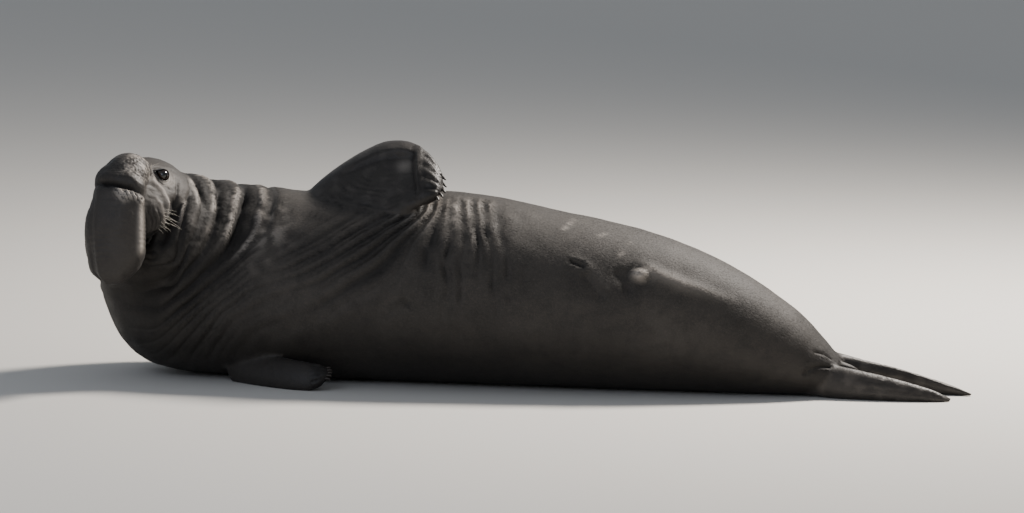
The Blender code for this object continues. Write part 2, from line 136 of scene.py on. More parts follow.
EYE_PLACE = (-0.018, 0.138, -0.007)
EYE_RADIUS = 0.031
GAZE = (0.62, 0.72, 0.30)
# How far the clear front of the eye bulges, and how far the lids lie off the ball.
EYE_BULGE = 0.0022
LID_GAP = 0.0035
# Half the opening: towards the outer corner, towards the inner corner, and its height.
OPENING_OUTER, OPENING_INNER, OPENING_HEIGHT = 0.0295, 0.044, 0.0282
# The lids' rim and the furrows round it: share of the way from the eye's middle to the rim, reach and height.
LID_FOLDS = ((1.10, 0.10, 0.0022), (1.42, 0.10, -0.0026), (1.85, 0.12, -0.0018))
# The eye's colours from the middle of its gaze outwards, by the angle's share of half a turn.
EYE_COLOURS = ((0.0, "#050404"), (0.16, "#050404"), (0.20, "#2a1a10"), (0.36, "#1a110b"), (0.42, "#0b0807"))
EYE_GRID = (36, 48)

# Flippers and tail: leading edge x, y, z, trailing edge x, y, z, half thickness.
FORE_LEFT = (
    (-1.041, 0.060, 0.920, -0.961, -0.080, 0.643, 0.120),
    (-0.949, 0.055, 1.005, -0.828, -0.150, 0.697, 0.122),
    (-0.847, 0.050, 1.083, -0.708, -0.210, 0.758, 0.112),
    (-0.750, 0.040, 1.145, -0.600, -0.255, 0.812, 0.098),
    (-0.657, 0.025, 1.188, -0.526, -0.285, 0.853, 0.084),
    (-0.567, 0.005, 1.198, -0.478, -0.300, 0.884, 0.072),
    (-0.496, -0.020, 1.183, -0.436, -0.310, 0.906, 0.063),
    (-0.436, -0.055, 1.147, -0.400, -0.315, 0.922, 0.055),
    (-0.387, -0.100, 1.103, -0.374, -0.315, 0.936, 0.046),
    (-0.352, -0.150, 1.056, -0.354, -0.310, 0.952, 0.033),
)
FORE_RIGHT = (
    (-1.380, -0.250, 0.160, -1.360, -0.330, 0.000, 0.050),
    (-1.240, -0.350, 0.156, -1.220, -0.440, 0.000, 0.047),
    (-1.120, -0.425, 0.150, -1.100, -0.515, 0.000, 0.041),
    (-1.020, -0.475, 0.143, -1.000, -0.556, 0.000, 0.035),
    (-0.940, -0.505, 0.136, -0.922, -0.572, 0.010, 0.029),
    (-0.882, -0.522, 0.127, -0.872, -0.568, 0.038, 0.023),
    (-0.852, -0.530, 0.115, -0.850, -0.556, 0.064, 0.016),
)
HIND_LEFT = (
    (1.490, 0.060, 0.235, 1.500, 0.080, 0.030, 0.066),
    (1.600, 0.078, 0.208, 1.610, 0.105, 0.018, 0.054),
    (1.740, 0.092, 0.172, 1.745, 0.128, 0.006, 0.044),
    (1.885, 0.100, 0.140, 1.885, 0.140, 0.000, 0.036),
    (2.035, 0.102, 0.101, 2.030, 0.142, 0.000, 0.029),
    (2.178, 0.100, 0.060, 2.168, 0.134, 0.000, 0.021),
    (2.305, 0.092, 0.026, 2.285, 0.116, 0.000, 0.013),
)
HIND_RIGHT = (
    (1.480, -0.085, 0.165, 1.490, -0.115, 0.016, 0.064),
    (1.580, -0.100, 0.168, 1.590, -0.138, 0.008, 0.054),
    (1.700, -0.118, 0.154, 1.705, -0.155, 0.000, 0.044),
    (1.835, -0.128, 0.130, 1.835, -0.166, 0.000, 0.036),
    (1.978, -0.131, 0.099, 1.973, -0.166, 0.000, 0.029),
    (2.105, -0.126, 0.066, 2.095, -0.154, 0.000, 0.021),
    (2.215, -0.116, 0.032, 2.200, -0.136, 0.000, 0.013),
)
TAIL = (
    (1.580, 0.036, 0.150, 1.580, -0.044, 0.150, 0.032),
    (1.650, 0.030, 0.144, 1.650, -0.040, 0.144, 0.026),
    (1.700, 0.022, 0.134, 1.700, -0.032, 0.134, 0.018),
    (1.735, 0.008, 0.124, 1.735, -0.018, 0.124, 0.010),
)
TIP_REACH = 0.4
PARTS = 8
PART_TRUNK, PART_HEAD, PART_NOSE, PART_FORE_LEFT, PART_FORE_RIGHT = range(5)
PART_HIND_LEFT, PART_HIND_RIGHT, PART_TAIL = range(5, PARTS)
# How bare of hair each part is: trunk, head, nose, fore flippers, hind flippers, tail.
BARENESS = (0.0, 0.35, 0.7, 1.0, 1.0, 0.9, 0.9, 0.4)

# Rings along and points round the guide's tubes, and rings along each flipper and the tail.
TRUNK_RINGS, HEAD_RINGS, NOSE_RINGS = (330, 240), (60, 130), (90, 90)
FLIPPER_SIDES = 60
FLIPPERS = (
    (PART_FORE_LEFT, FORE_LEFT, 80),
    (PART_FORE_RIGHT, FORE_RIGHT, 60),
    (PART_HIND_LEFT, HIND_LEFT, 80),
    (PART_HIND_RIGHT, HIND_RIGHT, 70),
    (PART_TAIL, TAIL, 20),
)

# The folds of neck and chest: the crest of each numbered fold passes through these places, in metres along
# the trunk from the pelvis and degrees round it. 0 degrees faces the camera's side and 90 is the top.
FOLD_LINES = {
    0.5: ((1.60, 66), (1.57, 40), (1.55, 14)),
    2.0: ((1.80, 72), (1.77, 50), (1.72, 37), (1.69, 16)),
    3.0: ((1.85, 70), (1.82, 54), (1.78, 40), (1.76, 28), (1.75, 10)),
    4.0: ((1.91, 73), (1.88, 58), (1.85, 39), (1.84, 26), (1.84, 6)),
    5.0: ((1.97, 71), (1.96, 53), (1.94, 28), (1.92, 5), (1.93, -12)),
    6.0: ((2.01, 71), (2.00, 52), (1.99, 35), (2.00, 20), (2.05, 4), (2.15, -10)),
    7.0: ((2.05, 70), (2.08, 52), (2.12, 37), (2.18, 22), (2.32, 8), (2.51, -4)),
    8.2: ((2.11, 61), (2.19, 44), (2.33, 29), (2.50, 17), (2.70, 8), (2.90, -2)),
    9.3: ((2.17, 60), (2.28, 46), (2.48, 30), (2.84, 12), (3.02, 4), (3.10, -4), (3.14, -22), (3.14, -50)),
    10.6: ((2.25, 62), (2.57, 34), (2.81, 22), (3.06, 12), (3.17, 2), (3.22, -10), (3.25, -31), (3.24, -88)),
    12.0: ((2.73, 40), (3.00, 24), (3.17, 8), (3.27, -2), (3.34, -23), (3.36, -55), (3.36, -106)),
    13.5: ((3.10, 61), (3.11, 36), (3.21, 20), (3.31, 6), (3.41, -14), (3.47, -47), (3.48, -106)),
    14.3: ((3.30, 67), (3.31, 50), (3.30, 34), (3.34, 16), (3.43, 1), (3.52, -24), (3.60, -60), (3.61, -100)),
    15.0: ((3.42, 64), (3.43, 38), (3.47, 14), (3.57, -14), (3.76, -64), (3.75, -112)),
    16.0: ((3.56, 60), (3.56, 35), (3.60, 12), (3.78, -30), (3.88, -64), (3.86, -90)),
    17.0: ((3.67, 56), (3.71, 26), (3.82, 3), (3.93, -22), (3.95, -53)),
    18.2: ((3.75, 50), (3.84, 27), (3.93, 14), (3.97, -12)),
}
# Over the back each fold runs straight round the body: its number at these distances along the trunk.
BACK_FOLDS = (
    *((3.76, 18.2), (3.67, 17.0), (3.57, 16.0), (3.44, 15.0), (3.30, 14.3), (3.18, 13.5)),
    *((2.95, 12.0), (2.65, 10.0), (2.35, 8.4), (2.05, 6.0), (1.80, 2.4), (1.50, 0.0)),
)
BACK_DEGREES = (110, 165, 210)
GIRTH_RADIUS = 0.5
# The fold field gives a little at its places, and is worked out for this many places at a time.
FIELD_SOFTNESS = 0.002
FIELD_CHUNK = 20_000
# Old scars on the flank: distance along the trunk and degrees round it.
SCARS = (
    ((1.380, 79), (1.395, 70), (1.418, 62)),
    ((1.186, 74), (1.205, 68), (1.231, 63)),
    ((1.084, 64), (1.110, 56), (1.120, 49), (1.125, 41)),
    ((0.62, 118), (0.70, 124), (0.74, 136)),
    ((1.70, 150), (1.62, 158), (1.60, 170)),
    ((2.30, 128), (2.24, 140)),
)

# Places on the trunk, by distance along it and degrees round it.
NAVEL = ((1.352, 37.5), (1.292, 35.5))
NAVEL_EDGE = ((1.287, 35.5), (1.240, 33.5), (1.160, 25))
NAVEL_HOLLOW = ((1.27, 29), (1.20, 19))
SHEATH = ((1.015, 36.5),)
SHEATH_HOLLOW = ((1.105, 34), (1.06, 26))
SHEATH_RIDGE = ((0.975, 41), (0.807, 38), (0.612, 38), (0.410, 46))
VENT = ((0.124, 34), (0.062, 47), (0.025, 51))
FLIPPER_ROOT = ((0.170, -8), (0.150, 2), (0.114, 11), (0.060, 22), (0.0, 32))
# Marks along such lines: the line, the distance at which the mark has faded to a third, how far it stands
# out in metres, how pale and how dark it is.
# The dark in the navel, the sheath's opening and the crease round the flipper's root is painted shade, and
# the navel's pale edge is painted highlight.
TRUNK_MARKS = (
    (NAVEL, 0.034, 0.008, 0, 0),
    (NAVEL, 0.010, -0.022, 0, 0),
    (NAVEL, 0.011, 0, 0, 0.8),
    (NAVEL_EDGE, 0.020, 0.0035, 0, 0),
    (NAVEL_EDGE, 0.014, 0, 0.08, 0),
    (NAVEL_HOLLOW, 0.026, -0.009, 0, 0),
    (SHEATH, 0.027, 0.028, 0, 0),
    (SHEATH, 0.011, -0.008, 0, 0),
    (SHEATH, 0.009, 0, 0, 0.35),
    (SHEATH_HOLLOW, 0.036, -0.015, 0, 0),
    (VENT, 0.010, -0.008, 0, 0),
    (FLIPPER_ROOT, 0.014, -0.014, 0, 0),
    (FLIPPER_ROOT, 0.012, 0, 0, 0.5),
)

# Lines on the left half of the face, in the head's frame: forward, left, up. The right half mirrors them.
MOUTH_LINE = (
    (0.070, 0.210, -0.128),
    (0.115, 0.206, -0.172),
    (0.142, 0.190, -0.226),
    (0.182, 0.165, -0.242),
    (0.215, 0.130, -0.248),
    (0.240, 0.070, -0.252),
    (0.246, 0.000, -0.254),
)
JOWL_LINE = ((0.040, 0.217, -0.142), (0.078, 0.216, -0.190), (0.124, 0.208, -0.240), (0.165, 0.185, -0.292))
CHEEK_LINE = ((-0.085, 0.186, -0.040), (-0.018, 0.208, -0.083), (0.028, 0.218, -0.130))
MUZZLE_EDGE = ((0.060, 0.100, 0.036), (0.080, 0.140, -0.022), (0.076, 0.168, -0.058), (0.095, 0.196, -0.112))
PAD_EDGE = ((0.145, 0.168, -0.072), (0.143, 0.180, -0.102), (0.152, 0.194, -0.145), (0.160, 0.190, -0.192))
PAD_RIM = ((0.095, 0.196, -0.100), (0.104, 0.202, -0.140), (0.118, 0.202, -0.172), (0.142, 0.192, -0.212))
TEAR_LINE = ((0.034, 0.128, 0.016), (0.046, 0.146, -0.022), (0.026, 0.176, -0.064))
# Painted shade darkens the mouth's, jowl's and cheek's creases, and painted highlight lightens the muzzle's
# edge and the pad's edge and rim. The tear line is a tear stain with painted shade in its fold.
FACE_MARKS = (
    (MOUTH_LINE, 0.011, -0.020, 0, 0.9),
    (JOWL_LINE, 0.026, -0.026, 0, 0.95),
    (CHEEK_LINE, 0.008, -0.008, 0, 0.55),
    (MUZZLE_EDGE, 0.019, 0.009, 0, 0),
    (MUZZLE_EDGE, 0.018, 0, 0.65, 0),
    (PAD_EDGE, 0.010, 0.004, 0.35, 0),
    (PAD_RIM, 0.015, 0.010, 0.45, 0),
    (TEAR_LINE, 0.008, -0.006, 0, 0.5),
)
# The middle of the whisker pad in the head's frame.
PAD_PLACE = (0.190, 0.148, -0.165)

# The crease under the hump, in metres along the nose from the forehead.
NOSE_CREASE = 0.282

# The markings that skin and coat carry: pale for calluses, scars and painted highlight, dark for painted
# shade in creases and hollows, bare skin, and the wet round the eyes.
MARKS = ("pale", "dark", "bare", "wet")
# Of each part: how close its tufts stand, how long they are, and its place in the bake map.
TUFT_DENSITY = (1.0, 3.6, 3.0, 2.2, 2.2, 2.2, 2.2, 1.5)
TUFT_LENGTH = (0.017, 0.008, 0.005, 0.006, 0.006, 0.005, 0.005, 0.010)
MAP_GROUP = (0, 1, 1, 2, 3, 4, 5, 0)
# Shares of a tuft's length: its width, how far its tip stands off, and where it is widest.
TUFT_WIDTH = 0.26
TUFT_LIFT = 0.05
TUFT_WIDEST = 0.4
# The size of a tuft's patch on the bake map.
PATCH = 0.003
COAT_PIECES = 6

# Where the whiskers stand on the left of the face, in the head's frame: forward, left, up, length.
WHISKERS = (
    (0.122, 0.204, -0.140, 0.045),
    (0.118, 0.206, -0.156, 0.060),
    (0.124, 0.204, -0.172, 0.070),
    (0.128, 0.200, -0.188, 0.075),
    (0.136, 0.196, -0.204, 0.070),
    (0.142, 0.198, -0.148, 0.045),
    (0.142, 0.198, -0.165, 0.060),
    (0.146, 0.196, -0.181, 0.065),
    (0.150, 0.192, -0.198, 0.065),
    (0.156, 0.186, -0.213, 0.060),
    (0.160, 0.192, -0.158, 0.035),
    (0.162, 0.190, -0.176, 0.045),
    (0.166, 0.186, -0.192, 0.050),
    (0.172, 0.178, -0.208, 0.045),
    (0.180, 0.170, -0.220, 0.040),
)
BROW_HAIRS = (
    (0.030, 0.100, 0.055, 0.050),
    (0.018, 0.108, 0.056, 0.065),
    (0.006, 0.112, 0.057, 0.060),
    (-0.006, 0.116, 0.056, 0.045),
)
# A real whisker is 1 mm thick at its root. It is drawn a little thicker so that it shows.
WHISKER_RADIUS = 0.0007
# Which way whiskers and brow hairs point, and which way both bend, in the head's frame.
HAIRS = ((WHISKERS, (-0.30, 0.92, -0.22)), (BROW_HAIRS, (0.25, 0.60, 0.75)))
HAIR_BEND = (-0.25, 0, -0.30)
HAIR_ROWS, HAIR_SIDES = 9, 5
# Claws: how deep their roots lie, where the outer two stand across the tip, how they fan out and curl.
CLAWS = 5
CLAW_LENGTH = 0.040
CLAW_RADIUS = 0.0085
CLAW_SINK = 0.020
CLAW_SPAN = (0.10, 0.92)
CLAW_FAN = 0.5
CLAW_CURL = 0.25
CLAW_FLATNESS = 0.8
CLAW_BENDS = {"left": (0.3, -0.6, -0.7), "right": (0.0, -0.2, -0.5)}
CLAW_ROWS, CLAW_SIDES = 14, 16

# The camera stands 30 m away, 8 degrees to the right of square on and 7 degrees above, rolled by 1 degree.
# Its aim is the point that the photo's middle shows, and one pixel there is 5 mm.
AIM = np.array([-0.01109, 0.0, 0.63394])
CAMERA_AZIMUTH, CAMERA_ELEVATION, CAMERA_ROLL = 8.0, 7.0, 1.0
CAMERA_DISTANCE = 30.0
PIXEL = 0.005
FRAME_WIDTH = 1024
SENSOR = 36

# The hide's colours: its two base shades, patches, grain, and each marking with its strength.
HIDE_BASE = ("#35322f", "#433f3b")
# The wet colour is near black: wet skin, with painted shade of the eye's socket at its inner corner.
HIDE_PATCHES, HIDE_GRAIN, HIDE_WET_SHADE = "#292725", "#544f49", "#120e0d"
# The pale marking is calluses, scars and painted highlight; the dark marking is mostly painted shade in
# creases, hollows and low down.
HIDE_MARKS = (("bare", 0.60, "#353230"), ("pale", 0.90, "#b0a89f"), ("dark", 0.80, "#151312"))
# The hide's net of fine furrows and its coat's grain: the size of their cells, and the bump's strength.
NET_SIZE, NET_BUMP = 0.022, 0.20
GRAIN_SIZE, GRAIN_BUMP = 0.009, 0.3
BUMP_DEPTH = 0.002

# Lights: place, target, size, watts and colour. The brightest is above, behind and to the right.
LIGHTS = {
    "key": ((4.0, 4.4, 7.0), (-0.3, 0, 0.5), 2.0, 1900, "#fff7ee"),
    "fill": ((-4.0, -8.0, 4.5), (0, 0, 0.5), 6.0, 120, "#e2ebff"),
}
SKY = ("#dfe6f0", 0.38)
FLOOR_HALF = 40.0

FLESH = (
    "rump loin belly chest neck head lower_jaw nose fore_flipper_left fore_flipper_right hind_flipper_left "
    "hind_flipper_right tail"
).split()


def unit(vectors):
    """The vectors at a length of 1."""
    return vectors / np.maximum(np.linalg.norm(vectors, axis=-1, keepdims=True), 1e-12)


def smooth(value, start, end):
    """0 at start, 1 at end, with a soft S between them."""
    share = np.clip((value - start) / (end - start), 0.0, 1.0)
    return share * share * (3 - 2 * share)


def waves(points, size, seed):
    """Soft noise of about -1 to 1: a sum of sine waves in all directions, each about as long as size."""
    rng = np.random.default_rng(seed)
    directions = unit(rng.normal(size=(10, 3)))
    lengths = size * rng.uniform(0.7, 1.5, 10)
    turns = rng.uniform(0, 2 * math.pi, 10)
    return np.sin(points @ (directions * (2 * math.pi / lengths)[:, None]).T + turns).sum(axis=-1) / 3.2


def along(points):
    """The distance of each point from the first, measured from point to point."""
    steps = np.linalg.norm(np.diff(points, axis=0), axis=1)
    return np.concatenate([[0.0], np.cumsum(steps)])


def smooth_rows(keys, rows, places):
    """Each column at the places: cubic curves through the rows, with the slopes of their neighbours."""
    slopes = np.gradient(rows, keys, axis=0)
    index = np.clip(np.searchsorted(keys, places, side="right") - 1, 0, len(keys) - 2)
    width = (keys[index + 1] - keys[index])[:, None]
    part = (places[:, None] - keys[index][:, None]) / width
    start = (1 + 2 * part) * (1 - part) ** 2
    end = part**2 * (3 - 2 * part)
    leave = part * (1 - part) ** 2 * width
    arrive = -(part**2) * (1 - part) * width
    return start * rows[index] + end * rows[index + 1] + leave * slopes[index] + arrive * slopes[index + 1]


def rings_of(middles, side, up, half_width, rise, drop, power_up, power_down, sides):
    """Rounded cross-sections: ellipses whose powers square their shoulders, with their own rise and drop."""
    turn = np.linspace(0.0, 2 * math.pi, sides, endpoint=False)[None, :]
    cosine = np.cos(turn)
    sine = np.sin(turn)
    power = np.where(sine >= 0, np.reshape(power_up, (-1, 1)), np.reshape(power_down, (-1, 1)))
    across = np.sign(cosine) * np.abs(cosine) ** (2 / power) * half_width[:, None]
    height = np.where(sine >= 0, rise[:, None], drop[:, None])
    upward = np.sign(sine) * np.abs(sine) ** (2 / power) * height
    return middles[:, None] + across[..., None] * side[:, None] + upward[..., None] * up[:, None]


def head_axes():
    """The head's forward, left and up directions."""
    turn, nod, roll = (math.radians(a) for a in (HEAD_TURN, HEAD_NOD, HEAD_ROLL))
    forward = np.array([-math.sin(turn) * math.cos(nod), -math.cos(turn) * math.cos(nod), -math.sin(nod)])
    left = np.array([math.cos(turn), -math.sin(turn), 0.0])
    up = np.cross(forward, left)
    aside = left * math.cos(roll) + up * math.sin(roll)
    return np.array([forward, aside, up * math.cos(roll) - left * math.sin(roll)])


HEAD_AXES = head_axes()


def head_place(forward, left, up):
    """A place given in the head's frame, in the body's."""
    return HEAD_ORIGIN + np.array([forward, left, up]) @ HEAD_AXES


def trunk_rings(count, sides):
    """The trunk's tube, inside the solid by the coat's depth, with the distance along it of each ring."""
    table = np.array(TRUNK)
    keys = along(table[:, :3])
    places = np.linspace(0.0, keys[-1], count)
    rows = smooth_rows(keys, table, places)
    heading = np.radians(rows[:, 5])
    climb = np.radians(rows[:, 6])
    level = np.zeros(count)
    back = np.stack([np.cos(heading), np.sin(heading), level], axis=1)
    side = np.stack([np.sin(heading), -np.cos(heading), level], axis=1)
    up = np.sin(climb)[:, None] * back + np.cos(climb)[:, None] * UP
    half = rows[:, 3]
    lowered = (2 * TRUNK_MIDDLE - 1) * half
    rings = rings_of(
        rows[:, :3] + lowered[:, None] * up,
        side,
        up,
        rows[:, 4] - COAT_DEPTH,
        half - lowered - COAT_DEPTH,
        half + lowered - COAT_DEPTH,
        TRUNK_POWER,
        TRUNK_POWER,
        sides,
    )
    return rings, places


def head_rings(count, sides):
    """The skull and cheeks with their swellings, inside the solid by the coat's depth."""
    table = np.array(HEAD)
    rows = smooth_rows(table[:, 0], table, np.linspace(table[0, 0], table[-1, 0], count))
    forward, left, up = HEAD_AXES
    height = rows[:, 1] - rows[:, 2] - 2 * COAT_DEPTH
    middle = rows[:, 2] + COAT_DEPTH + HEAD_MIDDLE * height
    rings = rings_of(
        HEAD_ORIGIN + rows[:, 0, None] * forward + middle[:, None] * up,
        np.tile(left, (count, 1)),
        np.tile(up, (count, 1)),
        rows[:, 3] - COAT_DEPTH,
        (1 - HEAD_MIDDLE) * height,
        HEAD_MIDDLE * height,
        rows[:, 4],
        HEAD_POWER_DOWN,
        sides,
    )
    outward = unit(rings - rings.mean(axis=1, keepdims=True))
    for ahead, aside, above, radius, lift in SWELLINGS:
        for hand in (1, -1):
            near = np.exp(-((rings - head_place(ahead, hand * aside, above)) ** 2).sum(axis=-1) / radius**2)
            rings = rings + (lift * near)[..., None] * outward
    return rings, rows[:, 0]


def nose_rings(count, sides):
    """The nose's tube over its hump and down, with the distance along it of each ring."""
    table = np.array(NOSE)
    keys = along(table[:, :2])
    places = np.linspace(0.0, keys[-1], count)
    rows = smooth_rows(keys, table, places)
    turn = math.radians(HEAD_TURN)
    ahead = np.array([-math.sin(turn), -math.cos(turn), 0.0])
    side = np.tile([math.cos(turn), -math.sin(turn), 0.0], (count, 1))
    base = np.array([HEAD_ORIGIN[0], HEAD_ORIGIN[1], 0.0])
    middles = base + rows[:, 0, None] * ahead + rows[:, 1, None] * UP + NOSE_SIDEWAYS * side
    path = unit(np.gradient(middles, axis=0))
    depth = rows[:, 3] - COAT_DEPTH / 2
    half_width = rows[:, 2] - COAT_DEPTH / 2
    up = np.cross(path, side)
    rings = rings_of(middles, side, up, half_width, depth, depth, NOSE_POWER, NOSE_POWER, sides)
    return rings, places


def flipper_rings(table, count, sides):
    """A flipper's flat tube between its two edges, with each ring's share of the way along."""
    rows = np.array(table)
    keys = along((rows[:, :3] + rows[:, 3:6]) / 2)
    rows = smooth_rows(keys, rows, np.linspace(0.0, keys[-1], count))
    middles = (rows[:, :3] + rows[:, 3:6]) / 2
    path = unit(np.gradient(middles, axis=0))
    span = rows[:, :3] - rows[:, 3:6]
    half = np.linalg.norm(span, axis=1) / 2 - COAT_DEPTH / 2
    breadth = unit(span)
    rings = rings_of(
        middles,
        unit(np.cross(breadth, path)),
        breadth,
        rows[:, 6] - COAT_DEPTH / 2,
        half,
        half,
        2.0,
        2.0,
        sides,
    )
    tip = rings[-1].mean(axis=0) + (TIP_REACH * half[-1]) * path[-1]
    return rings, np.linspace(0.0, 1.0, count), tip


def tube_faces(count, sides, first):
    """Quads between the rings and triangles to the two end points that follow them, all facing outwards."""
    ring = np.arange(count - 1)[:, None] * sides + first
    here = np.arange(sides)[None, :]
    on = (here + 1) % sides
    quads = np.stack([ring + here, ring + on, ring + sides + on, ring + sides + here], axis=-1).reshape(-1, 4)
    start = first + count * sides
    last = first + (count - 1) * sides
    here = np.arange(sides)
    on = (here + 1) % sides
    caps = np.concatenate(
        [
            np.stack([first + on, first + here, np.full(sides, start)], axis=-1),
            np.stack([last + here, last + on, np.full(sides, start + 1)], axis=-1),
        ]
    )
    return quads, caps


def mesh_of(name, points, quads=None, triangles=None):
    """A mesh made from arrays of points, quads and triangles."""
    quads = np.zeros((0, 4), int) if quads is None else quads
    triangles = np.zeros((0, 3), int) if triangles is None else triangles
    corners = np.concatenate([quads.ravel(), triangles.ravel()])
    starts = np.concatenate([np.arange(len(quads)) * 4, 4 * len(quads) + np.arange(len(triangles)) * 3])
    mesh = bpy.data.meshes.new(name)
    mesh.vertices.add(len(points))
    mesh.vertices.foreach_set("co", np.asarray(points, np.float32).ravel())
    mesh.loops.add(len(corners))
    mesh.loops.foreach_set("vertex_index", corners.astype(np.int32))
    mesh.polygons.add(len(starts))
    mesh.polygons.foreach_set("loop_start", starts.astype(np.int32))
    mesh.update(calc_edges=True)
    return mesh


def put(name, mesh):
    """An object of a mesh, at the origin."""
    item = bpy.data.objects.new(name, mesh)
    bpy.context.scene.collection.objects.link(item)
    return item


def set_attribute(mesh, name, values):
    """Stores one number or one vector for each point of a mesh."""
    kind = "FLOAT" if values.ndim == 1 else "FLOAT_VECTOR"
    layer = mesh.attributes.new(name, kind, "POINT")
    layer.data.foreach_set("value" if values.ndim == 1 else "vector", np.asarray(values, np.float32).ravel())


def read(items, key, width, kind=np.float32):
    """A value of each item of a mesh, as rows of width numbers."""
    values = np.empty(len(items) * width, kind)
    items.foreach_get(key, values)
    return values.reshape(-1, width)


def get_attribute(mesh, name):
    """The numbers or vectors stored for each point of a mesh."""
    layer = mesh.attributes[name]
    if layer.data_type == "FLOAT":
        return read(layer.data, "value", 1)[:, 0].astype(float)
    return read(layer.data, "vector", 3).astype(float)


def points_of(mesh):
    """The places of a mesh's points."""
    return read(mesh.vertices, "co", 3).astype(float)


def normals_of(mesh):
    """The outward directions of a mesh's points."""
    return read(mesh.vertex_normals, "vector", 3).astype(float)


def edges_of(mesh):
    """The two points of each edge of a mesh."""
    return read(mesh.edges, "vertices", 2, np.int32)


def set_points(mesh, points):
    """Moves a mesh's points."""
    mesh.vertices.foreach_set("co", np.asarray(points, np.float32).ravel())
    mesh.update()


def drop(item):
    """Removes an object and its mesh."""
    mesh = item.data
    bpy.data.objects.remove(item)
    bpy.data.meshes.remove(mesh)


def finish_piece(piece, material, slot, *nodes):
    """Gives a finished piece its material, its body and the solids that it takes the place of. Its slot is
    not used.
    """
    piece.data.materials.append(material)
    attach(piece, "root")
    if nodes:
        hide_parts(*nodes)


def settled(item, name):
    """A new mesh of the object as its modifiers leave it. The object and its old mesh are removed."""
    bpy.context.view_layer.update()
    graph = bpy.context.evaluated_depsgraph_get()
    mesh = bpy.data.meshes.new_from_object(item.evaluated_get(graph))
    mesh.name = name
    drop(item)
    return mesh


def guide_body():
    """All parts of the body as overlapping tubes, with each point's part, place on it and lie of the coat.

    The place is the distance along the part, and the cosine and sine of the angle round it. The coat lies
    from the head towards the tail, down the nose and towards the tips of the flippers.
    """
    points, quads, caps, parts, places, flows = [], [], [], [], [], []
    count = 0

    def add(part, rings, keys, ends, lie):
        nonlocal count
        rows, sides = rings.shape[:2]
        turn = np.linspace(0.0, 2 * math.pi, sides, endpoint=False)
        flow = lie * unit(np.gradient(rings, axis=0))
        place = np.stack(
            [
                np.repeat(keys[:, None], sides, axis=1),
                np.tile(np.cos(turn), (rows, 1)),
                np.tile(np.sin(turn), (rows, 1)),
            ],
            axis=-1,
        )
        middle = np.array([[keys[0], 0, 0], [keys[-1], 0, 0]])
        q, c = tube_faces(rows, sides, count)
        points.append(np.concatenate([rings.reshape(-1, 3), ends]))
        places.append(np.concatenate([place.reshape(-1, 3), middle]))
        flows.append(np.concatenate([flow.reshape(-1, 3), flow[[0, -1]].mean(axis=1)]))
        parts.append(np.full(rows * sides + 2, float(part)))
        quads.append(q)
        caps.append(c)
        count += rows * sides + 2

    rings, keys = trunk_rings(*TRUNK_RINGS)
    add(PART_TRUNK, rings, keys, rings[[0, -1]].mean(axis=1), -1)
    rings, keys = head_rings(*HEAD_RINGS)
    ends = rings[[0, -1]].mean(axis=1) + np.array([[-HEAD_ROUNDING[0]], [HEAD_ROUNDING[1]]]) * HEAD_AXES[0]
    add(PART_HEAD, rings, keys, ends, -1)
    rings, keys = nose_rings(*NOSE_RINGS)
    tip = rings[-1].mean(axis=0)
    tip[2] = NOSE_TIP + COAT_DEPTH / 2
    add(PART_NOSE, rings, keys, np.array([rings[0].mean(axis=0), tip]), 1)
    for part, table, rows in FLIPPERS:
        rings, keys, tip = flipper_rings(table, rows, FLIPPER_SIDES)
        add(part, rings, keys, np.array([rings[0].mean(axis=0), tip]), 1)
    points = np.concatenate(points)
    points[:, 2] = np.maximum(points[:, 2], 0.0)
    mesh = mesh_of("guide", points, np.concatenate(quads), np.concatenate(caps))
    set_attribute(mesh, "part", np.concatenate(parts))
    set_attribute(mesh, "place", np.concatenate(places))
    set_attribute(mesh, "flow", np.concatenate(flows))
    return put("guide", mesh)


def add_node(tree, kind, settings=None, **links):
    """A node with its settings, and its inputs linked or set. Inputs are named with _ for a space."""
    item = tree.nodes.new(kind)
    for key, value in (settings or {}).items():
        setattr(item, key, value)
    for key, value in links.items():
        socket = item.inputs[int(key[1:])] if key[1:].isdigit() else item.inputs[key.replace("_", " ")]
        if isinstance(value, bpy.types.NodeSocket):
            tree.links.new(value, socket)
        else:
            socket.default_value = value
    return item


def take_nearest(item, source, names):
    """Gives the object's points the attributes of the nearest place on the source's surface."""
    tree = bpy.data.node_groups.new("take_nearest", "GeometryNodeTree")
    tree.interface.new_socket("Geometry", in_out="INPUT", socket_type="NodeSocketGeometry")
    tree.interface.new_socket("Geometry", in_out="OUTPUT", socket_type="NodeSocketGeometry")
    entry = tree.nodes.new("NodeGroupInput")
    leave = tree.nodes.new("NodeGroupOutput")
    other = add_node(tree, "GeometryNodeObjectInfo", {"transform_space": "ORIGINAL"}, Object=source)
    current = entry.outputs[0]
    for name in names:
        kind = source.data.attributes[name].data_type
        stored = add_node(tree, "GeometryNodeInputNamedAttribute", {"data_type": kind}, Name=name)
        near = add_node(
            tree,
            "GeometryNodeSampleNearestSurface",
            {"data_type": kind},
            Mesh=other.outputs["Geometry"],
            Value=stored.outputs["Attribute"],
        )
        keep = add_node(
            tree,
            "GeometryNodeStoreNamedAttribute",
            {"data_type": kind, "domain": "POINT"},
            Geometry=current,
            Name=name,
            Value=near.outputs["Value"],
        )
        current = keep.outputs["Geometry"]
    tree.links.new(current, leave.inputs[0])
    item.modifiers.new("take_nearest", "NODES").node_group = tree
    mesh = settled(item, item.name)
    bpy.data.node_groups.remove(tree)
    return mesh


def spread(values, edges, degree):
    """The mean of each point's neighbours."""
    total = np.zeros_like(values)
    for column in range(values.shape[1]):
        total[:, column] = np.bincount(edges[:, 0], values[edges[:, 1], column], len(values))
        total[:, column] += np.bincount(edges[:, 1], values[edges[:, 0], column], len(values))
    return total / degree[:, None]


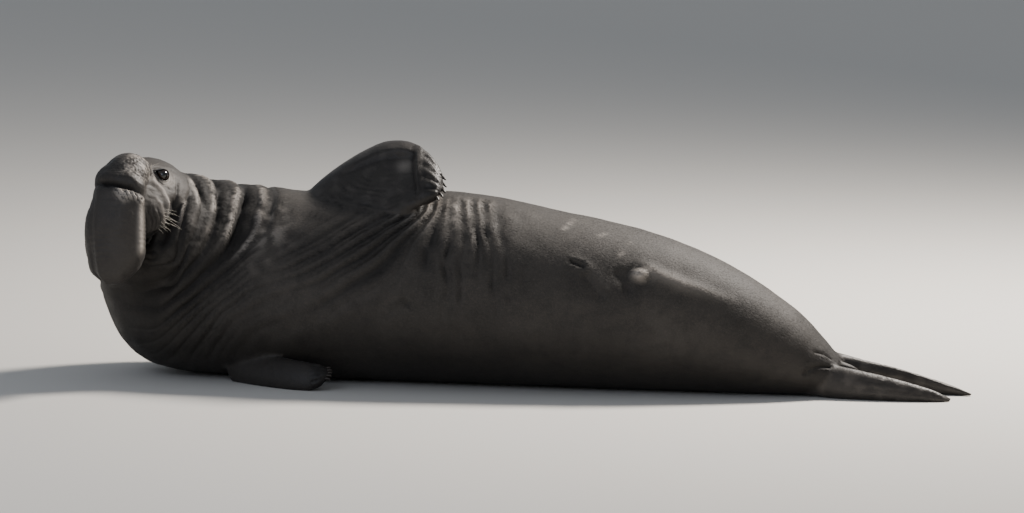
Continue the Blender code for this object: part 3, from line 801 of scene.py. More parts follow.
def fill_hollows(mesh, passes):
    """Rounds the creases where parts meet: points in a hollow move out to their neighbours' mean."""
    edges = edges_of(mesh)
    degree = np.maximum(np.bincount(edges.ravel(), minlength=len(mesh.vertices)), 1)
    points = points_of(mesh)
    for _ in range(2):
        points += 0.5 * (spread(points, edges, degree) - points)
    for step in range(passes):
        if step % 10 == 0:
            set_points(mesh, points)
            normals = normals_of(mesh)
        shift = ((spread(points, edges, degree) - points) * normals).sum(axis=1)
        points += 0.7 * np.maximum(shift, 0.0)[:, None] * normals
    set_points(mesh, points)
    return edges, degree


def fold_number():
    """A smooth field over the trunk that counts the folds, by the distance along it and the angle round it.

    It is a thin plate that is bent to pass through the numbered lines: a plane plus r squared times log r
    round each place on the lines, where r is measured on the trunk's surface. The places are repeated a
    turn away.
    """
    rows = [(u, t, number) for number, line in FOLD_LINES.items() for u, t in line]
    rows += [(u, t, number) for u, number in BACK_FOLDS for t in BACK_DEGREES]
    rows = np.array(rows, float)
    rows = np.concatenate([rows + [0, turn, 0] for turn in (-360, 0, 360)])
    rows = rows[np.abs(rows[:, 1]) < 330]

    def flat(u, degrees):
        return np.stack([u, np.radians(degrees) * GIRTH_RADIUS], axis=-1)

    def bend(places, centres):
        square = ((places[:, None] - centres[None]) ** 2).sum(axis=-1)
        return 0.5 * square * np.log(square + 1e-12)

    centres = flat(rows[:, 0], rows[:, 1])
    size = len(centres)
    plane = np.concatenate([np.ones((size, 1)), centres], axis=1)
    stiff = bend(centres, centres) + FIELD_SOFTNESS * np.eye(size)
    system = np.block([[stiff, plane], [plane.T, np.zeros((3, 3))]])
    weights = np.linalg.solve(system, np.concatenate([rows[:, 2], np.zeros(3)]))

    def number(u, degrees):
        places = flat(u, degrees)
        result = np.empty(len(places))
        for first in range(0, len(places), FIELD_CHUNK):
            some = places[first : first + FIELD_CHUNK]
            value = bend(some, centres) @ weights[:size] + weights[size] + some @ weights[size + 1 :]
            result[first : first + FIELD_CHUNK] = value
        return result

    return number


def from_line(places, corners):
    """Each place's distance from a line through the corners."""
    corners = np.array(corners)
    nearest = np.full(len(places), np.inf)
    for start, end in zip(corners[:-1], corners[1:]):
        span = end - start
        share = np.clip((places - start) @ span / (span @ span), 0.0, 1.0)
        nearest = np.minimum(nearest, np.linalg.norm(places - start - share[:, None] * span, axis=1))
    return nearest


def on_trunk(u, degrees, *corners):
    """Metres on the trunk's surface from a place or a line that is given by distance along and angle."""
    scale = np.array([1.0, math.radians(GIRTH_RADIUS)])
    place = np.stack([u, degrees], axis=-1) * scale
    if len(corners) == 1:
        return np.linalg.norm(place - np.array(corners[0]) * scale, axis=-1)
    return from_line(place, np.array(corners) * scale)


def bell(distance, radius):
    """1 at no distance, and e to the minus square of distance over radius beyond it."""
    return np.exp(-((distance / radius) ** 2))


def add_marks(marks, away, totals):
    """Adds each mark to relief, pale and dark: its amounts times a bell of the distance from its line."""
    for line, radius, *amounts in marks:
        close = bell(away(line), radius)
        for total, amount in zip(totals, amounts):
            total += amount * close


def trunk_relief(u, degrees, points):
    """How far the trunk's skin stands out or sinks in, in metres, and how pale it is there.

    Folds are the rounded rolls between narrow creases, |cos(pi n)| for the fold number n, with a second row
    at twice the number. They are deepest on the neck and round the armpit, and fade along the chest and
    over the back. Navel and sheath lie on the belly's middle line.
    """
    field = fold_number()
    number = field(u, degrees)
    step = 0.01
    turned = degrees + math.degrees(step / GIRTH_RADIUS)
    slope = np.hypot(field(u + step, degrees) - number, field(u, turned) - number) / step
    neck = smooth(u, 3.02, 3.32)
    crown = smooth(degrees, 6, 34) * (1 - smooth(degrees, 92, 125))
    wander = (waves(points, 0.45, 3) * 0.12 + waves(points, 0.16, 4) * 0.035) * (1 - 0.6 * neck)
    lean = 0.11 * neck * crown * np.cos(2 * math.pi * number)
    roll = np.abs(np.cos(math.pi * (number + wander + lean)))
    half_roll = np.abs(np.cos(math.pi * (2 * number + 0.25 + 2.2 * wander)))
    near = smooth(number, 0.2, 2.0) * (1 - neck) * (1 - smooth(degrees, 66, 86)) * smooth(degrees, -60, -15)
    short = 1 - smooth(number, 6.0, 7.5)
    length = degrees + 14 * waves(points, 0.12, 10) + 24 * bell(number - 5.0, 0.45)
    near *= 1 - short * (1 - smooth(length, 2, 34))
    near *= 1 - 0.6 * short * (1 - smooth(waves(points * [1, 0.3, 0.3], 0.09, 19), -0.7, 0.5))
    reach = on_trunk(u, degrees, (2.03, 78))
    strong = 0.42 + 0.58 * (1 - smooth(reach, 0.2, 0.9))
    callus = bell(on_trunk(u, degrees, (3.06, 44)), 0.16)
    uneven = np.clip(0.85 + 0.45 * waves(points, 0.30, 5), 0.35, 1.35)
    throat = smooth(-degrees, 25, 75)
    low = throat * (1 - smooth(number, 13.4, 15.2))
    depth = neck * (0.015 - 0.005 * throat + 0.021 * crown) * (1 - 0.65 * low)
    depth += near * strong * 0.020 * (1 - callus)
    depth = depth * uneven * (1 - neck * (1 - smooth(1 / slope, 0.030, 0.075)))
    depth *= 1 - 0.7 * neck * smooth(-degrees, 66, 92)
    second = (0.42 - 0.25 * short) * (1 - neck) + neck * (0.04 + 0.10 * crown)
    sink = depth * (1 - roll**0.7) + second * depth * (1 - half_roll**0.8)
    jowl = neck * smooth(number, 18.35, 18.95) * smooth(degrees, 2, 16) * (1 - smooth(degrees, 60, 80))
    relief = -sink - 0.018 * jowl
    relief += 0.0016 * waves(points, 0.10, 6) * np.clip(0.4 + neck + near, 0, 1)
    # The neck's fold crests are pale callus and painted highlight, only between the camera's side and the
    # top; the fold crests by the armpit get painted highlight.
    crest = neck * smooth(roll, 0.93, 0.995) * smooth(degrees, 18, 34) * (1 - smooth(degrees, 84, 100))
    pale = 1.1 * crest * (1 - smooth(number, 17.6, 18.6)) * smooth(waves(points, 0.14, 7), -0.9, 0.1)
    pale += 0.8 * near * smooth(roll, 0.82, 0.97) * (1 - smooth(reach, 0.14, 0.36))
    pale += 0.55 * callus * smooth(waves(points, 0.07, 8), -0.35, 0.75)
    broken = smooth(waves(points, 0.030, 9), -0.6, 0.3)
    for scar in SCARS:
        pale += 0.60 * bell(on_trunk(u, degrees, *scar), 0.0065) * broken
    # Painted shade in the creases, by their depth, and in the jowl's crease. The neck is also darker away
    # from its pale crests.
    dark = 0.9 * np.clip(sink / 0.012, 0, 1) + 0.8 * jowl + 0.42 * neck * (1 - crest)
    add_marks(TRUNK_MARKS, lambda corners: on_trunk(u, degrees, *corners), (relief, pale, dark))
    sheath = on_trunk(u, degrees, *SHEATH)
    # A groove rings the sheath's pale knob, with painted shade in it.
    relief -= 0.007 * bell(sheath - 0.056, 0.018)
    pale += 1.2 * bell(sheath, 0.030) * smooth(waves(points, 0.018, 36), -1.2, 0.0)
    dark += 0.3 * bell(sheath - 0.052, 0.016)
    # Painted highlight along the ridge that runs back from the sheath.
    ridge = on_trunk(u, degrees, *SHEATH_RIDGE)
    relief += 0.017 * bell(ridge, 0.055) * smooth(u, 0.40, 0.85)
    pale += 0.35 * bell(ridge, 0.040) * smooth(u, 0.45, 0.90)
    # Painted shade: the trunk darkens towards the floor, up to a wavering height.
    shade_height = 0.42 + 0.06 * waves(points, 0.35, 39)
    dark = np.maximum(dark, 0.62 * (1 - smooth(points[:, 2], 0.4 * shade_height, 1.15 * shade_height)))
    return relief, np.clip(pale, 0, 1), np.clip(dark, 0, 1)


def head_relief(points):
    """The mouth, whisker pad, cheek folds, sockets and ears: bells of the distance from lines on the face."""
    place = (points - HEAD_ORIGIN) @ HEAD_AXES.T
    place[:, 1] = np.abs(place[:, 1])
    forward, side, up = place.T
    relief, pale, dark = np.zeros((3, len(points)))
    add_marks(FACE_MARKS, lambda line: from_line(place, line), (relief, pale, dark))
    tear = bell(from_line(place, TEAR_LINE), 0.008)
    pad = bell(np.linalg.norm((place - PAD_PLACE) * [1, 1, 0.8], axis=1), 0.052)
    across = 0.945 * side - 0.318 * forward
    pleats = 1 - np.abs(np.cos(math.pi * (across / 0.021 + 0.35 * np.sin(up * 45))))
    relief -= 0.012 * pad * pleats**1.5 * smooth(up, -0.090, -0.135)
    rows = np.maximum(np.cos(across * 2 * math.pi / 0.024) * np.cos(up * 2 * math.pi / 0.024), 0)
    relief += 0.0020 * pad * rows
    eye = np.linalg.norm(place - np.array(EYE_PLACE), axis=1)
    relief -= 0.004 * bell(eye - 0.058, 0.012)
    ear = np.linalg.norm(place[:, [0, 2]] - np.array([-0.118, -0.020]), axis=-1) + (side < 0.12)
    relief -= 0.012 * bell(ear, 0.007)
    relief += 0.0008 * waves(points, 0.030, 31)
    # Painted highlight: a pale band on the cheek below the eye.
    pale += 0.45 * bell(eye - 0.060, 0.016) * smooth(up, 0.02, -0.05) * (1 - tear)
    # Painted shade in the ears, between the pad's pleats and on the lower jaw under the mouth.
    dark += 0.7 * bell(ear, 0.009) + 0.9 * pad * pleats**1.5
    dark += 0.6 * smooth(-up, 0.218, 0.245) * smooth(forward, 0.03, 0.09) * smooth(-up, 0.36, 0.30)
    return relief, np.clip(pale, 0, 1), np.clip(dark, 0, 1)


def nose_relief(s, cosine, sine, points):
    """The deep crease under the hump, the callus below it, the rims of the flat front, and two nostrils.

    The crease is a line of nearly constant distance along the nose, deeper than it is wide, with a lip that
    hangs over it. Rims and grooves follow lines of constant angle down the nose.
    """
    front = smooth(sine, -0.25, 0.30)
    inner = 1 - smooth(-cosine, 0.45, 0.85)
    line = s - NOSE_CREASE - 0.010 * cosine + 0.004 * waves(points, 0.09, 11)
    crease = bell(line, 0.010) * front * (0.15 + 0.85 * inner) * (1 - 0.75 * smooth(cosine, 0.70, 0.95))
    relief = -0.030 * crease
    relief += 0.013 * bell(line + 0.034, 0.024) * front * inner
    relief += 0.007 * bell(line - 0.030, 0.020) * front * inner
    relief -= 0.014 * bell(s - 0.335, 0.055) * smooth(-cosine, 0.45, 0.95)
    relief += 0.015 * bell(s - 0.222, 0.040) * smooth(-cosine, 0.45, 0.95)
    relief += 0.012 * bell(s - 0.150, 0.050) * bell(cosine - 0.1, 0.6)
    relief -= 0.008 * bell(s - 0.175, 0.020) * bell(cosine + 0.6, 0.2)
    callus = smooth(line, 0.004, 0.014) * (1 - smooth(line, 0.030, 0.060))
    callus = callus * smooth(cosine, 0.02, 0.30) * front
    rough = waves(points, 0.013, 12)
    relief += 0.0035 * callus * rough + 0.004 * callus
    below = smooth(line, 0.02, 0.07)
    low = smooth(s, 0.48, 0.60)
    rim = cosine + 0.60 - 0.45 * (s - 0.3)
    relief -= (0.003 + 0.009 * low) * bell(rim, 0.13) * below * front
    relief += 0.004 * bell(rim - 0.22, 0.13) * below * front
    relief -= 0.012 * low * (1 - smooth(rim, -0.15, 0.02))
    relief -= 0.024 * smooth(s, 0.58, 0.70) * smooth(cosine, 0.40, 0.90)
    edge = 0.009 * bell(cosine - 0.95, 0.06) * below * smooth(sine, -0.1, 0.2)
    relief += edge * (1 - smooth(s, 0.54, 0.60))
    rings = np.abs(np.cos(math.pi * (s / 0.028 + 0.9 * waves(points, 0.20, 13))))
    relief -= 0.0022 * (1 - rings) * below * np.clip(0.4 + 0.8 * waves(points, 0.15, 14), 0, 1)
    hump = 1 - smooth(s, 0.20, 0.26)
    grain = hump * smooth(cosine, -0.1, 0.45)
    relief += 0.0014 * waves(points, 0.018, 15) * grain
    slot = [points[:, 2] - NOSE_TIP, np.abs(cosine) * 0.13 - 0.045, np.minimum(sine * 0.1, 0.02)]
    nostril = bell(np.linalg.norm(np.stack(slot, axis=-1) * [0.6, 1.0, 0.35], axis=1), 0.010)
    nostril *= points[:, 2] < NOSE_TIP + 0.05
    relief -= 0.022 * nostril
    patchy = waves(points, 0.055, 17) + 0.9 * waves(points, 0.017, 38)
    # Pale callus under the crease, and the hump's right side pale in patches: grain with painted highlight.
    pale = callus * smooth(rough, -1.2, 0.1) + 0.75 * grain * smooth(patchy, -0.5, 1.3)
    relief += 0.0007 * waves(points, 0.014, 34)
    # Painted highlight along the nose's right rim.
    pale += 0.9 * smooth(line, 0.02, 0.10) * (1 - smooth(s, 0.54, 0.60)) * bell(cosine - 0.97, 0.06) * front
    # Painted shade in the crease, the nostrils, under the hump's overhanging lip and in the grooves by the
    # rims.
    dark = 0.9 * crease + nostril + 0.25 * bell(line + 0.040, 0.030) * front
    dark += 0.25 * bell(rim, 0.09) * below * front * (0.3 + 0.7 * low)
    return relief, np.clip(pale, 0, 1), np.clip(dark, 0, 1)


def fore_relief(t, face, across, points):
    """A hollow palm with nested arcs of creases, the wrist's fold, and five digits side by side."""
    palm = smooth(-face, 0.10, 0.5)
    inside = smooth(t, 0.25, 0.50) * (1 - smooth(t, 0.800, 0.825)) * (1 - smooth(across, 0.42, 0.60))
    inside *= smooth(across, -0.95, -0.55)
    relief = -(0.024 + 0.012 * bell(t - 0.72, 0.10)) * palm * inside
    arcs = np.hypot((t - 0.70) / 0.50, (across - 0.45) / 1.30) + 0.035 * waves(points, 0.20, 21)
    creases = 1 - np.abs(np.cos(math.pi * arcs * 11)) ** 0.8
    where = palm * smooth(arcs, 0.22, 0.40) * smooth(t, 0.10, 0.25) * (1 - smooth(t, 0.78, 0.82))
    patchy = 0.25 + 0.75 * smooth(waves(points, 0.10, 35), -0.4, 0.5)
    where = where * (1 - smooth(across, -0.10, 0.45)) * patchy
    relief -= 0.0052 * creases * where
    relief += 0.006 * bell(t - 0.835, 0.014) * palm
    wrist = bell(t - 0.812 + 0.010 * np.cos(across * 2.2) - 0.006, 0.014) * palm
    relief -= 0.009 * wrist * (1 - smooth(np.abs(across), 0.65, 0.95))
    lobes = (across + 1) / 2 * 5 + 0.25 * (t - 0.9)
    digit = np.abs(np.sin(math.pi * lobes)) ** 0.55
    fingers = smooth(t, 0.83, 0.91)
    relief += fingers * (0.014 * digit - 0.006)
    wrinkles = 1 - np.abs(np.cos(math.pi * (t * 52 + 0.8 * waves(points, 0.10, 22))))
    relief -= 0.0016 * wrinkles * fingers
    back = 1 - palm
    relief -= 0.0020 * back * (1 - np.abs(np.cos(math.pi * (t * 17 + 0.9 * waves(points, 0.15, 18)))))
    patch = palm * bell(t - 0.755, 0.05) * bell(across - 0.20, 0.22)
    pale = 0.45 * patch + 0.06 * palm * smooth(waves(points, 0.06, 23), 0.2, 0.9)
    # Painted shade in the palm's creases, between the digits, in the wrist's fold and under the palm's upper
    # rim. The whole flipper is also darker, the folded digits most.
    dark = 0.25 + 0.45 * creases * where + 0.30 * (1 - digit) * fingers + 0.45 * fingers
    dark += 0.6 * wrist + 0.6 * palm * inside * bell(across - 0.47, 0.07)
    return relief, np.clip(pale, 0, 1), np.clip(dark, 0, 1)


def hind_relief(t, across, points):
    """A closed hind flipper: five digits along it with webs folded between, and fine creases across."""
    digit = np.abs(np.sin(math.pi * (across * (0.55 + 0.45 * t) + 1) / 2 * 5)) ** 0.7
    relief = -0.007 * (1 - digit) * smooth(t, 0.28, 0.5) * (1 - smooth(t, 0.82, 0.95))
    creases = 1 - np.abs(np.cos(math.pi * (t * 26 + 0.8 * waves(points, 0.12, 24))))
    relief -= 0.0008 * creases + 0.006 * smooth(t, 0.86, 1.0)
    pale = 0.08 * smooth(waves(points, 0.09, 25), 0.2, 1.0)
    # Painted shade between the digits, where the webs fold.
    dark = 0.45 * (1 - digit) * smooth(t, 0.28, 0.5)
    return relief, np.clip(pale, 0, 1), np.clip(dark, 0, 1)


def eye_frames():
    """For each eye, its middle, its gaze, and the directions towards its outer corner and its upper lid."""
    frames = []
    for hand in (1, -1):
        middle = head_place(EYE_PLACE[0], hand * EYE_PLACE[1], EYE_PLACE[2])
        gaze = unit(np.array([GAZE[0], hand * GAZE[1], GAZE[2]]) @ HEAD_AXES)
        slant = np.array([-0.55, hand * 0.62, -0.56]) @ HEAD_AXES
        outer = unit(slant - (slant @ gaze) * gaze)
        upper = np.cross(gaze, outer) * hand
        frames.append((middle, gaze, outer, upper))
    return frames


def shape_lids(points):
    """Lids round each eyeball: skin lies on the ball round an almond opening, and behind it inside.

    Also gives how wet each point is, and how light: the lower lid's rim has pale hairs under a painted
    highlight.
    """
    wet = np.zeros(len(points))
    light = np.zeros(len(points))
    for middle, gaze, outer, upper in eye_frames():
        offset = points - middle
        height, x, y = offset @ gaze, offset @ outer, offset @ upper
        radius = np.hypot(x, y)
        near = (np.linalg.norm(offset, axis=1) < 0.075) & (height > -0.03)
        width = np.where(x > 0, OPENING_OUTER, OPENING_INNER)
        tall = OPENING_HEIGHT * (1 - 0.50 * np.clip(-x / OPENING_INNER, 0, 1))
        rim = np.hypot(x / width, y / tall)
        ball = np.sqrt(np.maximum((EYE_RADIUS + LID_GAP) ** 2 - radius**2, 0.0))
        lid = np.where(ball > 0, np.maximum(height, ball), height)
        blend = 1 - smooth(radius, 0.030, 0.044)
        lid = height + (lid - height) * blend
        lid += sum(lift * bell(rim - share, reach) for share, reach, lift in LID_FOLDS)
        behind = np.sqrt(np.maximum(EYE_RADIUS**2 - radius**2, 0.0)) - 0.007
        inside = 1 - smooth(rim, 0.93, 1.04)
        target = lid + (behind - lid) * inside
        points[near] += ((target - height)[:, None] * gaze)[near]
        # Wet skin round the opening is painted near black, wider at the inner corner as painted shade of the
        # socket.
        wide = 1.12 + 0.22 * smooth(-x, -0.005, 0.02)
        wet = np.maximum(wet, np.where(near, 1 - smooth(rim, wide - 0.10, wide + 0.06), 0.0))
        # The lower lid's pale rim, lightened further as painted highlight.
        below = smooth(x - y, 0.0, 0.030)
        light = np.maximum(light, np.where(near, 0.9 * bell(rim - wide - 0.22, 0.16) * below, 0.0))
    return points, wet, light


def refine_near_eyes(mesh):
    """Splits the faces round the eyes twice, so that the lids' edges come out thin."""
    centres = [middle + 0.02 * gaze for middle, gaze, *_ in eye_frames()]
    bm = bmesh.new()
    bm.from_mesh(mesh)
    for radius in (0.066, 0.050):
        chosen = [e for e in bm.edges if any((e.verts[0].co - Vector(c)).length < radius for c in centres)]
        bmesh.ops.subdivide_edges(bm, edges=chosen, cuts=1, use_grid_fill=True)
    bmesh.ops.triangulate(bm, faces=[f for f in bm.faces if len(f.verts) > 4])
    bm.to_mesh(mesh)
    bm.free()
    mesh.update()
    return mesh


def blend_parts(mesh, edges, degree):
    """Each point's part, its share of every part, how fully it is its own part's, and how bare of hair."""
    part = np.rint(get_attribute(mesh, "part")).astype(int)
    share = np.eye(PARTS)[np.clip(part, 0, PARTS - 1)]
    for _ in range(int(SHARE_PASSES * PASSES) + 2):
        share = 0.5 * share + 0.5 * spread(share, edges, degree)
    own = smooth(share[np.arange(len(part)), part], 0.55, 0.90)
    bare = (share @ np.array(BARENESS))[:, None]
    for _ in range(int(BARE_PASSES * PASSES) + 2):
        bare = 0.3 * bare + 0.7 * spread(bare, edges, degree)
    return part, share, own, bare[:, 0]


def body_relief(mesh, part, share, own):
    """The whole skin's relief, pale and dark: each part's own, faded out where it meets another part."""
    points = points_of(mesh)
    key, cosine, sine = get_attribute(mesh, "place").T
    degrees = np.degrees(np.arctan2(sine, cosine))
    degrees = np.where(degrees < -135, degrees + 360, degrees)
    relief, pale, dark = np.zeros((3, len(points)))

    def apply(chosen, result, weight):
        for total, value in zip((relief, pale, dark), result):
            total[chosen] += value * weight[chosen]

    reliefs = {
        PART_TRUNK: lambda c: trunk_relief(key[c], degrees[c], points[c]),
        PART_NOSE: lambda c: nose_relief(key[c], cosine[c], sine[c], points[c]),
        PART_FORE_LEFT: lambda c: fore_relief(key[c], cosine[c], sine[c], points[c]),
        PART_FORE_RIGHT: lambda c: fore_relief(key[c], -cosine[c], sine[c], points[c]),
        PART_HIND_LEFT: lambda c: hind_relief(key[c], sine[c], points[c]),
        PART_HIND_RIGHT: lambda c: hind_relief(key[c], sine[c], points[c]),
    }
    for number, relief_of in reliefs.items():
        chosen = part == number
        apply(chosen, relief_of(chosen), own)
    # The face's lines cross from the head to the throat, so they hold for both.
    chosen = np.linalg.norm(points - HEAD_ORIGIN, axis=1) < 0.5
    chosen &= (part == PART_HEAD) | (part == PART_TRUNK)
    apply(chosen, head_relief(points[chosen]), 1 - smooth(share[:, PART_NOSE], 0.2, 0.6))
    return relief, np.clip(pale, 0, 1), np.clip(dark, 0, 1)


def thin_out(mesh, points):
    """The skin with fewer triangles: the head keeps a share up to four times as large as the rest."""
    skin = put("skin", mesh.copy())
    near_head = smooth(-points[:, 1] - 0.25 - 0.6 * (points[:, 0] + 1.85), 0.0, 0.15) * (points[:, 0] < -1.5)
    weight = TRUNK_KEEP + (1 - TRUNK_KEEP) * near_head
    group = skin.vertex_groups.new(name="keep")
    steps = np.round(weight * KEEP_STEPS).astype(int)
    for step in range(KEEP_STEPS + 1):
        group.add(np.flatnonzero(steps == step).tolist(), step / KEEP_STEPS, "REPLACE")
    triangles = len(mesh.loops) - 2 * len(mesh.polygons)
    thin = skin.modifiers.new("thin", "DECIMATE")
    thin.ratio = min(1.0, SKIN_TRIANGLES / triangles)
    thin.vertex_group = "keep"
    thin.invert_vertex_group = True
    thin.vertex_group_factor = 1.0
    return settled(skin, "skin")


def build_skin():
    """One skin over the whole body, with its folds, and a float attribute for each marking.

    The tubes are joined on a grid and thinned out at the end, and each time the points take their values
    from the nearest place on the surface before.
    """
    guide = guide_body()
    union = put("skin", guide.data.copy())
    remesh = union.modifiers.new("union", "REMESH")
    remesh.mode = "VOXEL"
    remesh.voxel_size = VOXEL
    mesh = settled(union, "skin")
    mesh = take_nearest(put("skin", mesh), guide, ("part", "place", "flow"))
    edges, degree = fill_hollows(mesh, int(HOLLOW_PASSES * PASSES) + 6)
    part, share, own, bare = blend_parts(mesh, edges, degree)
    relief, pale, dark = body_relief(mesh, part, share, own)
    points = points_of(mesh) + relief[:, None] * normals_of(mesh)
    # The flippers' lower edges rest on the floor.
    resting = share[:, [PART_FORE_RIGHT, PART_HIND_LEFT, PART_HIND_RIGHT]].sum(axis=1)
    points[:, 2] -= REST_SINK * resting * (1 - smooth(points[:, 2], 0.0, REST_HEIGHT))
    set_points(mesh, points)
    for name, values in (("pale", pale), ("dark", dark), ("bare", bare)):
        set_attribute(mesh, name, values)
    mesh = refine_near_eyes(mesh)
    points, wet, light = shape_lids(points_of(mesh))
    points[:, 2] = np.maximum(points[:, 2], CLEARANCE)
    set_points(mesh, points)
    set_attribute(mesh, "wet", wet)
    pale = np.maximum(get_attribute(mesh, "pale"), light)
    mesh.attributes["pale"].data.foreach_set("value", pale.astype(np.float32))

    full = put("full_skin", mesh)
    mesh = thin_out(mesh, points)
    for name in [a.name for a in mesh.attributes]:
        if name in ("place", "part", "flow", *MARKS):
            mesh.attributes.remove(mesh.attributes[name])
    mesh = take_nearest(put("skin", mesh), full, ("part", "flow", *MARKS))
    drop(full)
    drop(guide)
    set_points(mesh, points_of(mesh) + SHIFT)
    mesh.shade_smooth()
    return put("skin", mesh)


def map_places(points, normals, group):
    """Places on a flat map of the skin: each part seen square on from six sides, by where its skin faces."""
    axis = np.argmax(np.abs(normals), axis=1)
    facing = axis * 2 + (normals[np.arange(len(points)), axis] < 0)
    places = np.zeros((len(points), 2))
    for part in range(6):
        for way in range(6):
            chosen = (group == part) & (facing == way)
            if not chosen.any():
                continue
            flat = np.delete(points[chosen], way // 2, axis=1)
            low = flat.min(axis=0)
            extent = np.maximum(flat.max(axis=0) - low, 0.01)
            # The trunk's four long sides lie one over the other, and small cells beside them hold the rest.
            index = way if part == 0 else part * 6 + way - 4
            cell = np.array([0.73 + 0.066 * (index % 4), 0.01 + 0.122 * (index // 4), 0.062, 0.116])
            if part == 0 and way > 1:
                cell = np.array([0.01, 0.01 + 0.245 * (way - 2), 0.70, 0.235])
            places[chosen] = cell[:2] + (flat - low) * (cell[2:] / extent).min()
    return places


def scatter(mesh, corner, part, count, rng):
    """For each of count tufts, its triangle and that triangle's corner weights, spread evenly by room.

    A triangle's room is its area times the part's density, more on creases and scars, and none where the
    skin is wet or close to the floor.
    """
    points = points_of(mesh)
    a, b, c = (points[corner[:, i]] for i in range(3))
    marked = get_attribute(mesh, "dark") + 0.5 * get_attribute(mesh, "pale")
    broken = np.clip(marked, 0, 1)[corner].mean(axis=1)
    room = np.linalg.norm(np.cross(b - a, c - a), axis=1) * np.array(TUFT_DENSITY)[part] * (0.5 + broken)
    room *= (a[:, 2] > 0.012) & (get_attribute(mesh, "wet")[corner].max(axis=1) < 0.02)
    total = np.cumsum(room)
    face = np.searchsorted(total, (np.arange(count) + rng.random(count)) / count * total[-1])
    face = np.minimum(face, len(corner) - 1)
    root = np.sqrt(rng.random(count))
    turn = rng.random(count)
    return face, np.stack([1 - root, root * (1 - turn), root * turn], axis=1)


def tuft_leaves(place, normal, lie, usual_length, rng):
    """The corners of each tuft, and the way that the tuft faces at each corner.

    A tuft is a thin leaf with four corners: a root just under the skin, two edges on it at two fifths of its
    length, and a tip that stands off by a twentieth of its length. It is shaded much like the skin below it,
    with a slight tilt of its own.
    """
    count = len(place)
    lie = unit(lie - (lie * normal).sum(axis=1)[:, None] * normal)
    aside = np.cross(normal, lie)
    swing = (0.22 * waves(place, 0.25, 32) + rng.normal(0, 0.16, count))[:, None]
    lie = unit(lie + swing * aside)
    aside = np.cross(normal, lie)
    length = usual_length * rng.uniform(0.75, 1.2, count)
    lift = np.minimum(length * TUFT_LIFT * rng.uniform(0.5, 1.3, count), COAT_DEPTH - 0.001)
    length, lift = length[:, None], lift[:, None]
    base = place + TUFT_WIDEST * length * lie
    edge = 0.5 * TUFT_WIDTH * length * aside
    tip = place + length * lie + lift * normal
    leaf = np.stack([place - 0.3 * lift * normal, base + edge, base - edge, tip], axis=1)
    leaf[..., 2] = np.maximum(leaf[..., 2], CLEARANCE)
    tilt = rng.normal(0.0, 0.05, (2, count, 1))
    facing = unit(normal + tilt[0] * aside + tilt[1] * lie)
    facing = np.stack([facing, facing + 0.10 * aside, facing - 0.10 * aside, facing + 0.05 * lie], axis=1)
    return leaf, facing


def build_coat(skin, pieces):
    """Short hair in flat tufts that lie along the skin from head to tail, in pieces of as many tufts each.

    A piece holds the tufts of one length of the body, and the tufts' corners carry the skin's markings.
    """
    mesh = skin.data
    mesh.calc_loop_triangles()
    corner = read(mesh.loop_triangles, "vertices", 3, np.int32)
    part = np.rint(get_attribute(mesh, "part")).astype(int)[corner[:, 0]]
    rng = np.random.default_rng(31)
    face, weights = scatter(mesh, corner, part, pieces * TUFTS, rng)

    def at(values):
        picked = values[corner[face]]
        return (picked * (weights if values.ndim == 1 else weights[..., None])).sum(axis=1)

    place = at(points_of(mesh))
    normal = unit(at(normals_of(mesh)))
    usual_length = np.array(TUFT_LENGTH)[part[face]]
    leaf, facing = tuft_leaves(place, normal, at(get_attribute(mesh, "flow")), usual_length, rng)
    spot = map_places(place, normal, np.array(MAP_GROUP)[part[face]])
    patch = PATCH * np.array([[0, -0.5], [0.5, 0], [-0.5, 0], [0, 0.5]])
    order = np.argsort(place[:, 0], kind="stable").reshape(pieces, -1)
    leaf_faces = np.array([[0, 3, 1], [0, 2, 3], [0, 1, 2], [1, 3, 2]])
    material = make_hide("short_seal_hair", False)
    for number, chosen in enumerate(order):
        name = f"coat_{number + 1}"
        faces = (np.arange(len(chosen))[:, None, None] * 4 + leaf_faces).reshape(-1, 3)
        piece_mesh = mesh_of(name, leaf[chosen].reshape(-1, 3), None, faces)
        for mark in MARKS:
            set_attribute(piece_mesh, mark, np.repeat(at(get_attribute(mesh, mark))[chosen], 4))
        layer = piece_mesh.uv_layers.new(name="OFBake")
        corners = (spot[chosen][:, None] + patch).reshape(-1, 2)[faces.ravel()]
        layer.data.foreach_set("uv", corners.astype(np.float32).ravel())
        piece_mesh.normals_split_custom_set_from_vertices(unit(facing[chosen]).reshape(-1, 3))
        finish_piece(put(name, piece_mesh), material, "fur")


def tubes(paths, radii, sides):
    """Round hairs: each path is a row of places with a radius at each, closed by a point at both ends."""
    path = unit(np.gradient(paths, axis=1))
    side = unit(np.cross(path, np.array([0.31, 0.22, 0.93])))
    up = np.cross(path, side)
    turn = np.linspace(0.0, 2 * math.pi, sides, endpoint=False)
    ring = side[:, :, None] * np.cos(turn)[:, None] + up[:, :, None] * np.sin(turn)[:, None]
    rings = paths[:, :, None] + radii[..., None, None] * ring
    ends = paths[:, [0, -1]] + np.stack([-path[:, 0] * radii[:, :1], path[:, -1] * radii[:, -1:]], axis=1)
    hairs, rows = paths.shape[:2]
    points = np.concatenate([rings.reshape(hairs, -1, 3), ends], axis=1)
    quads, caps = tube_faces(rows, sides, 0)
    step = (np.arange(hairs) * (rows * sides + 2))[:, None, None]
    return points.reshape(-1, 3), (quads + step).reshape(-1, 4), (caps + step).reshape(-1, 3)


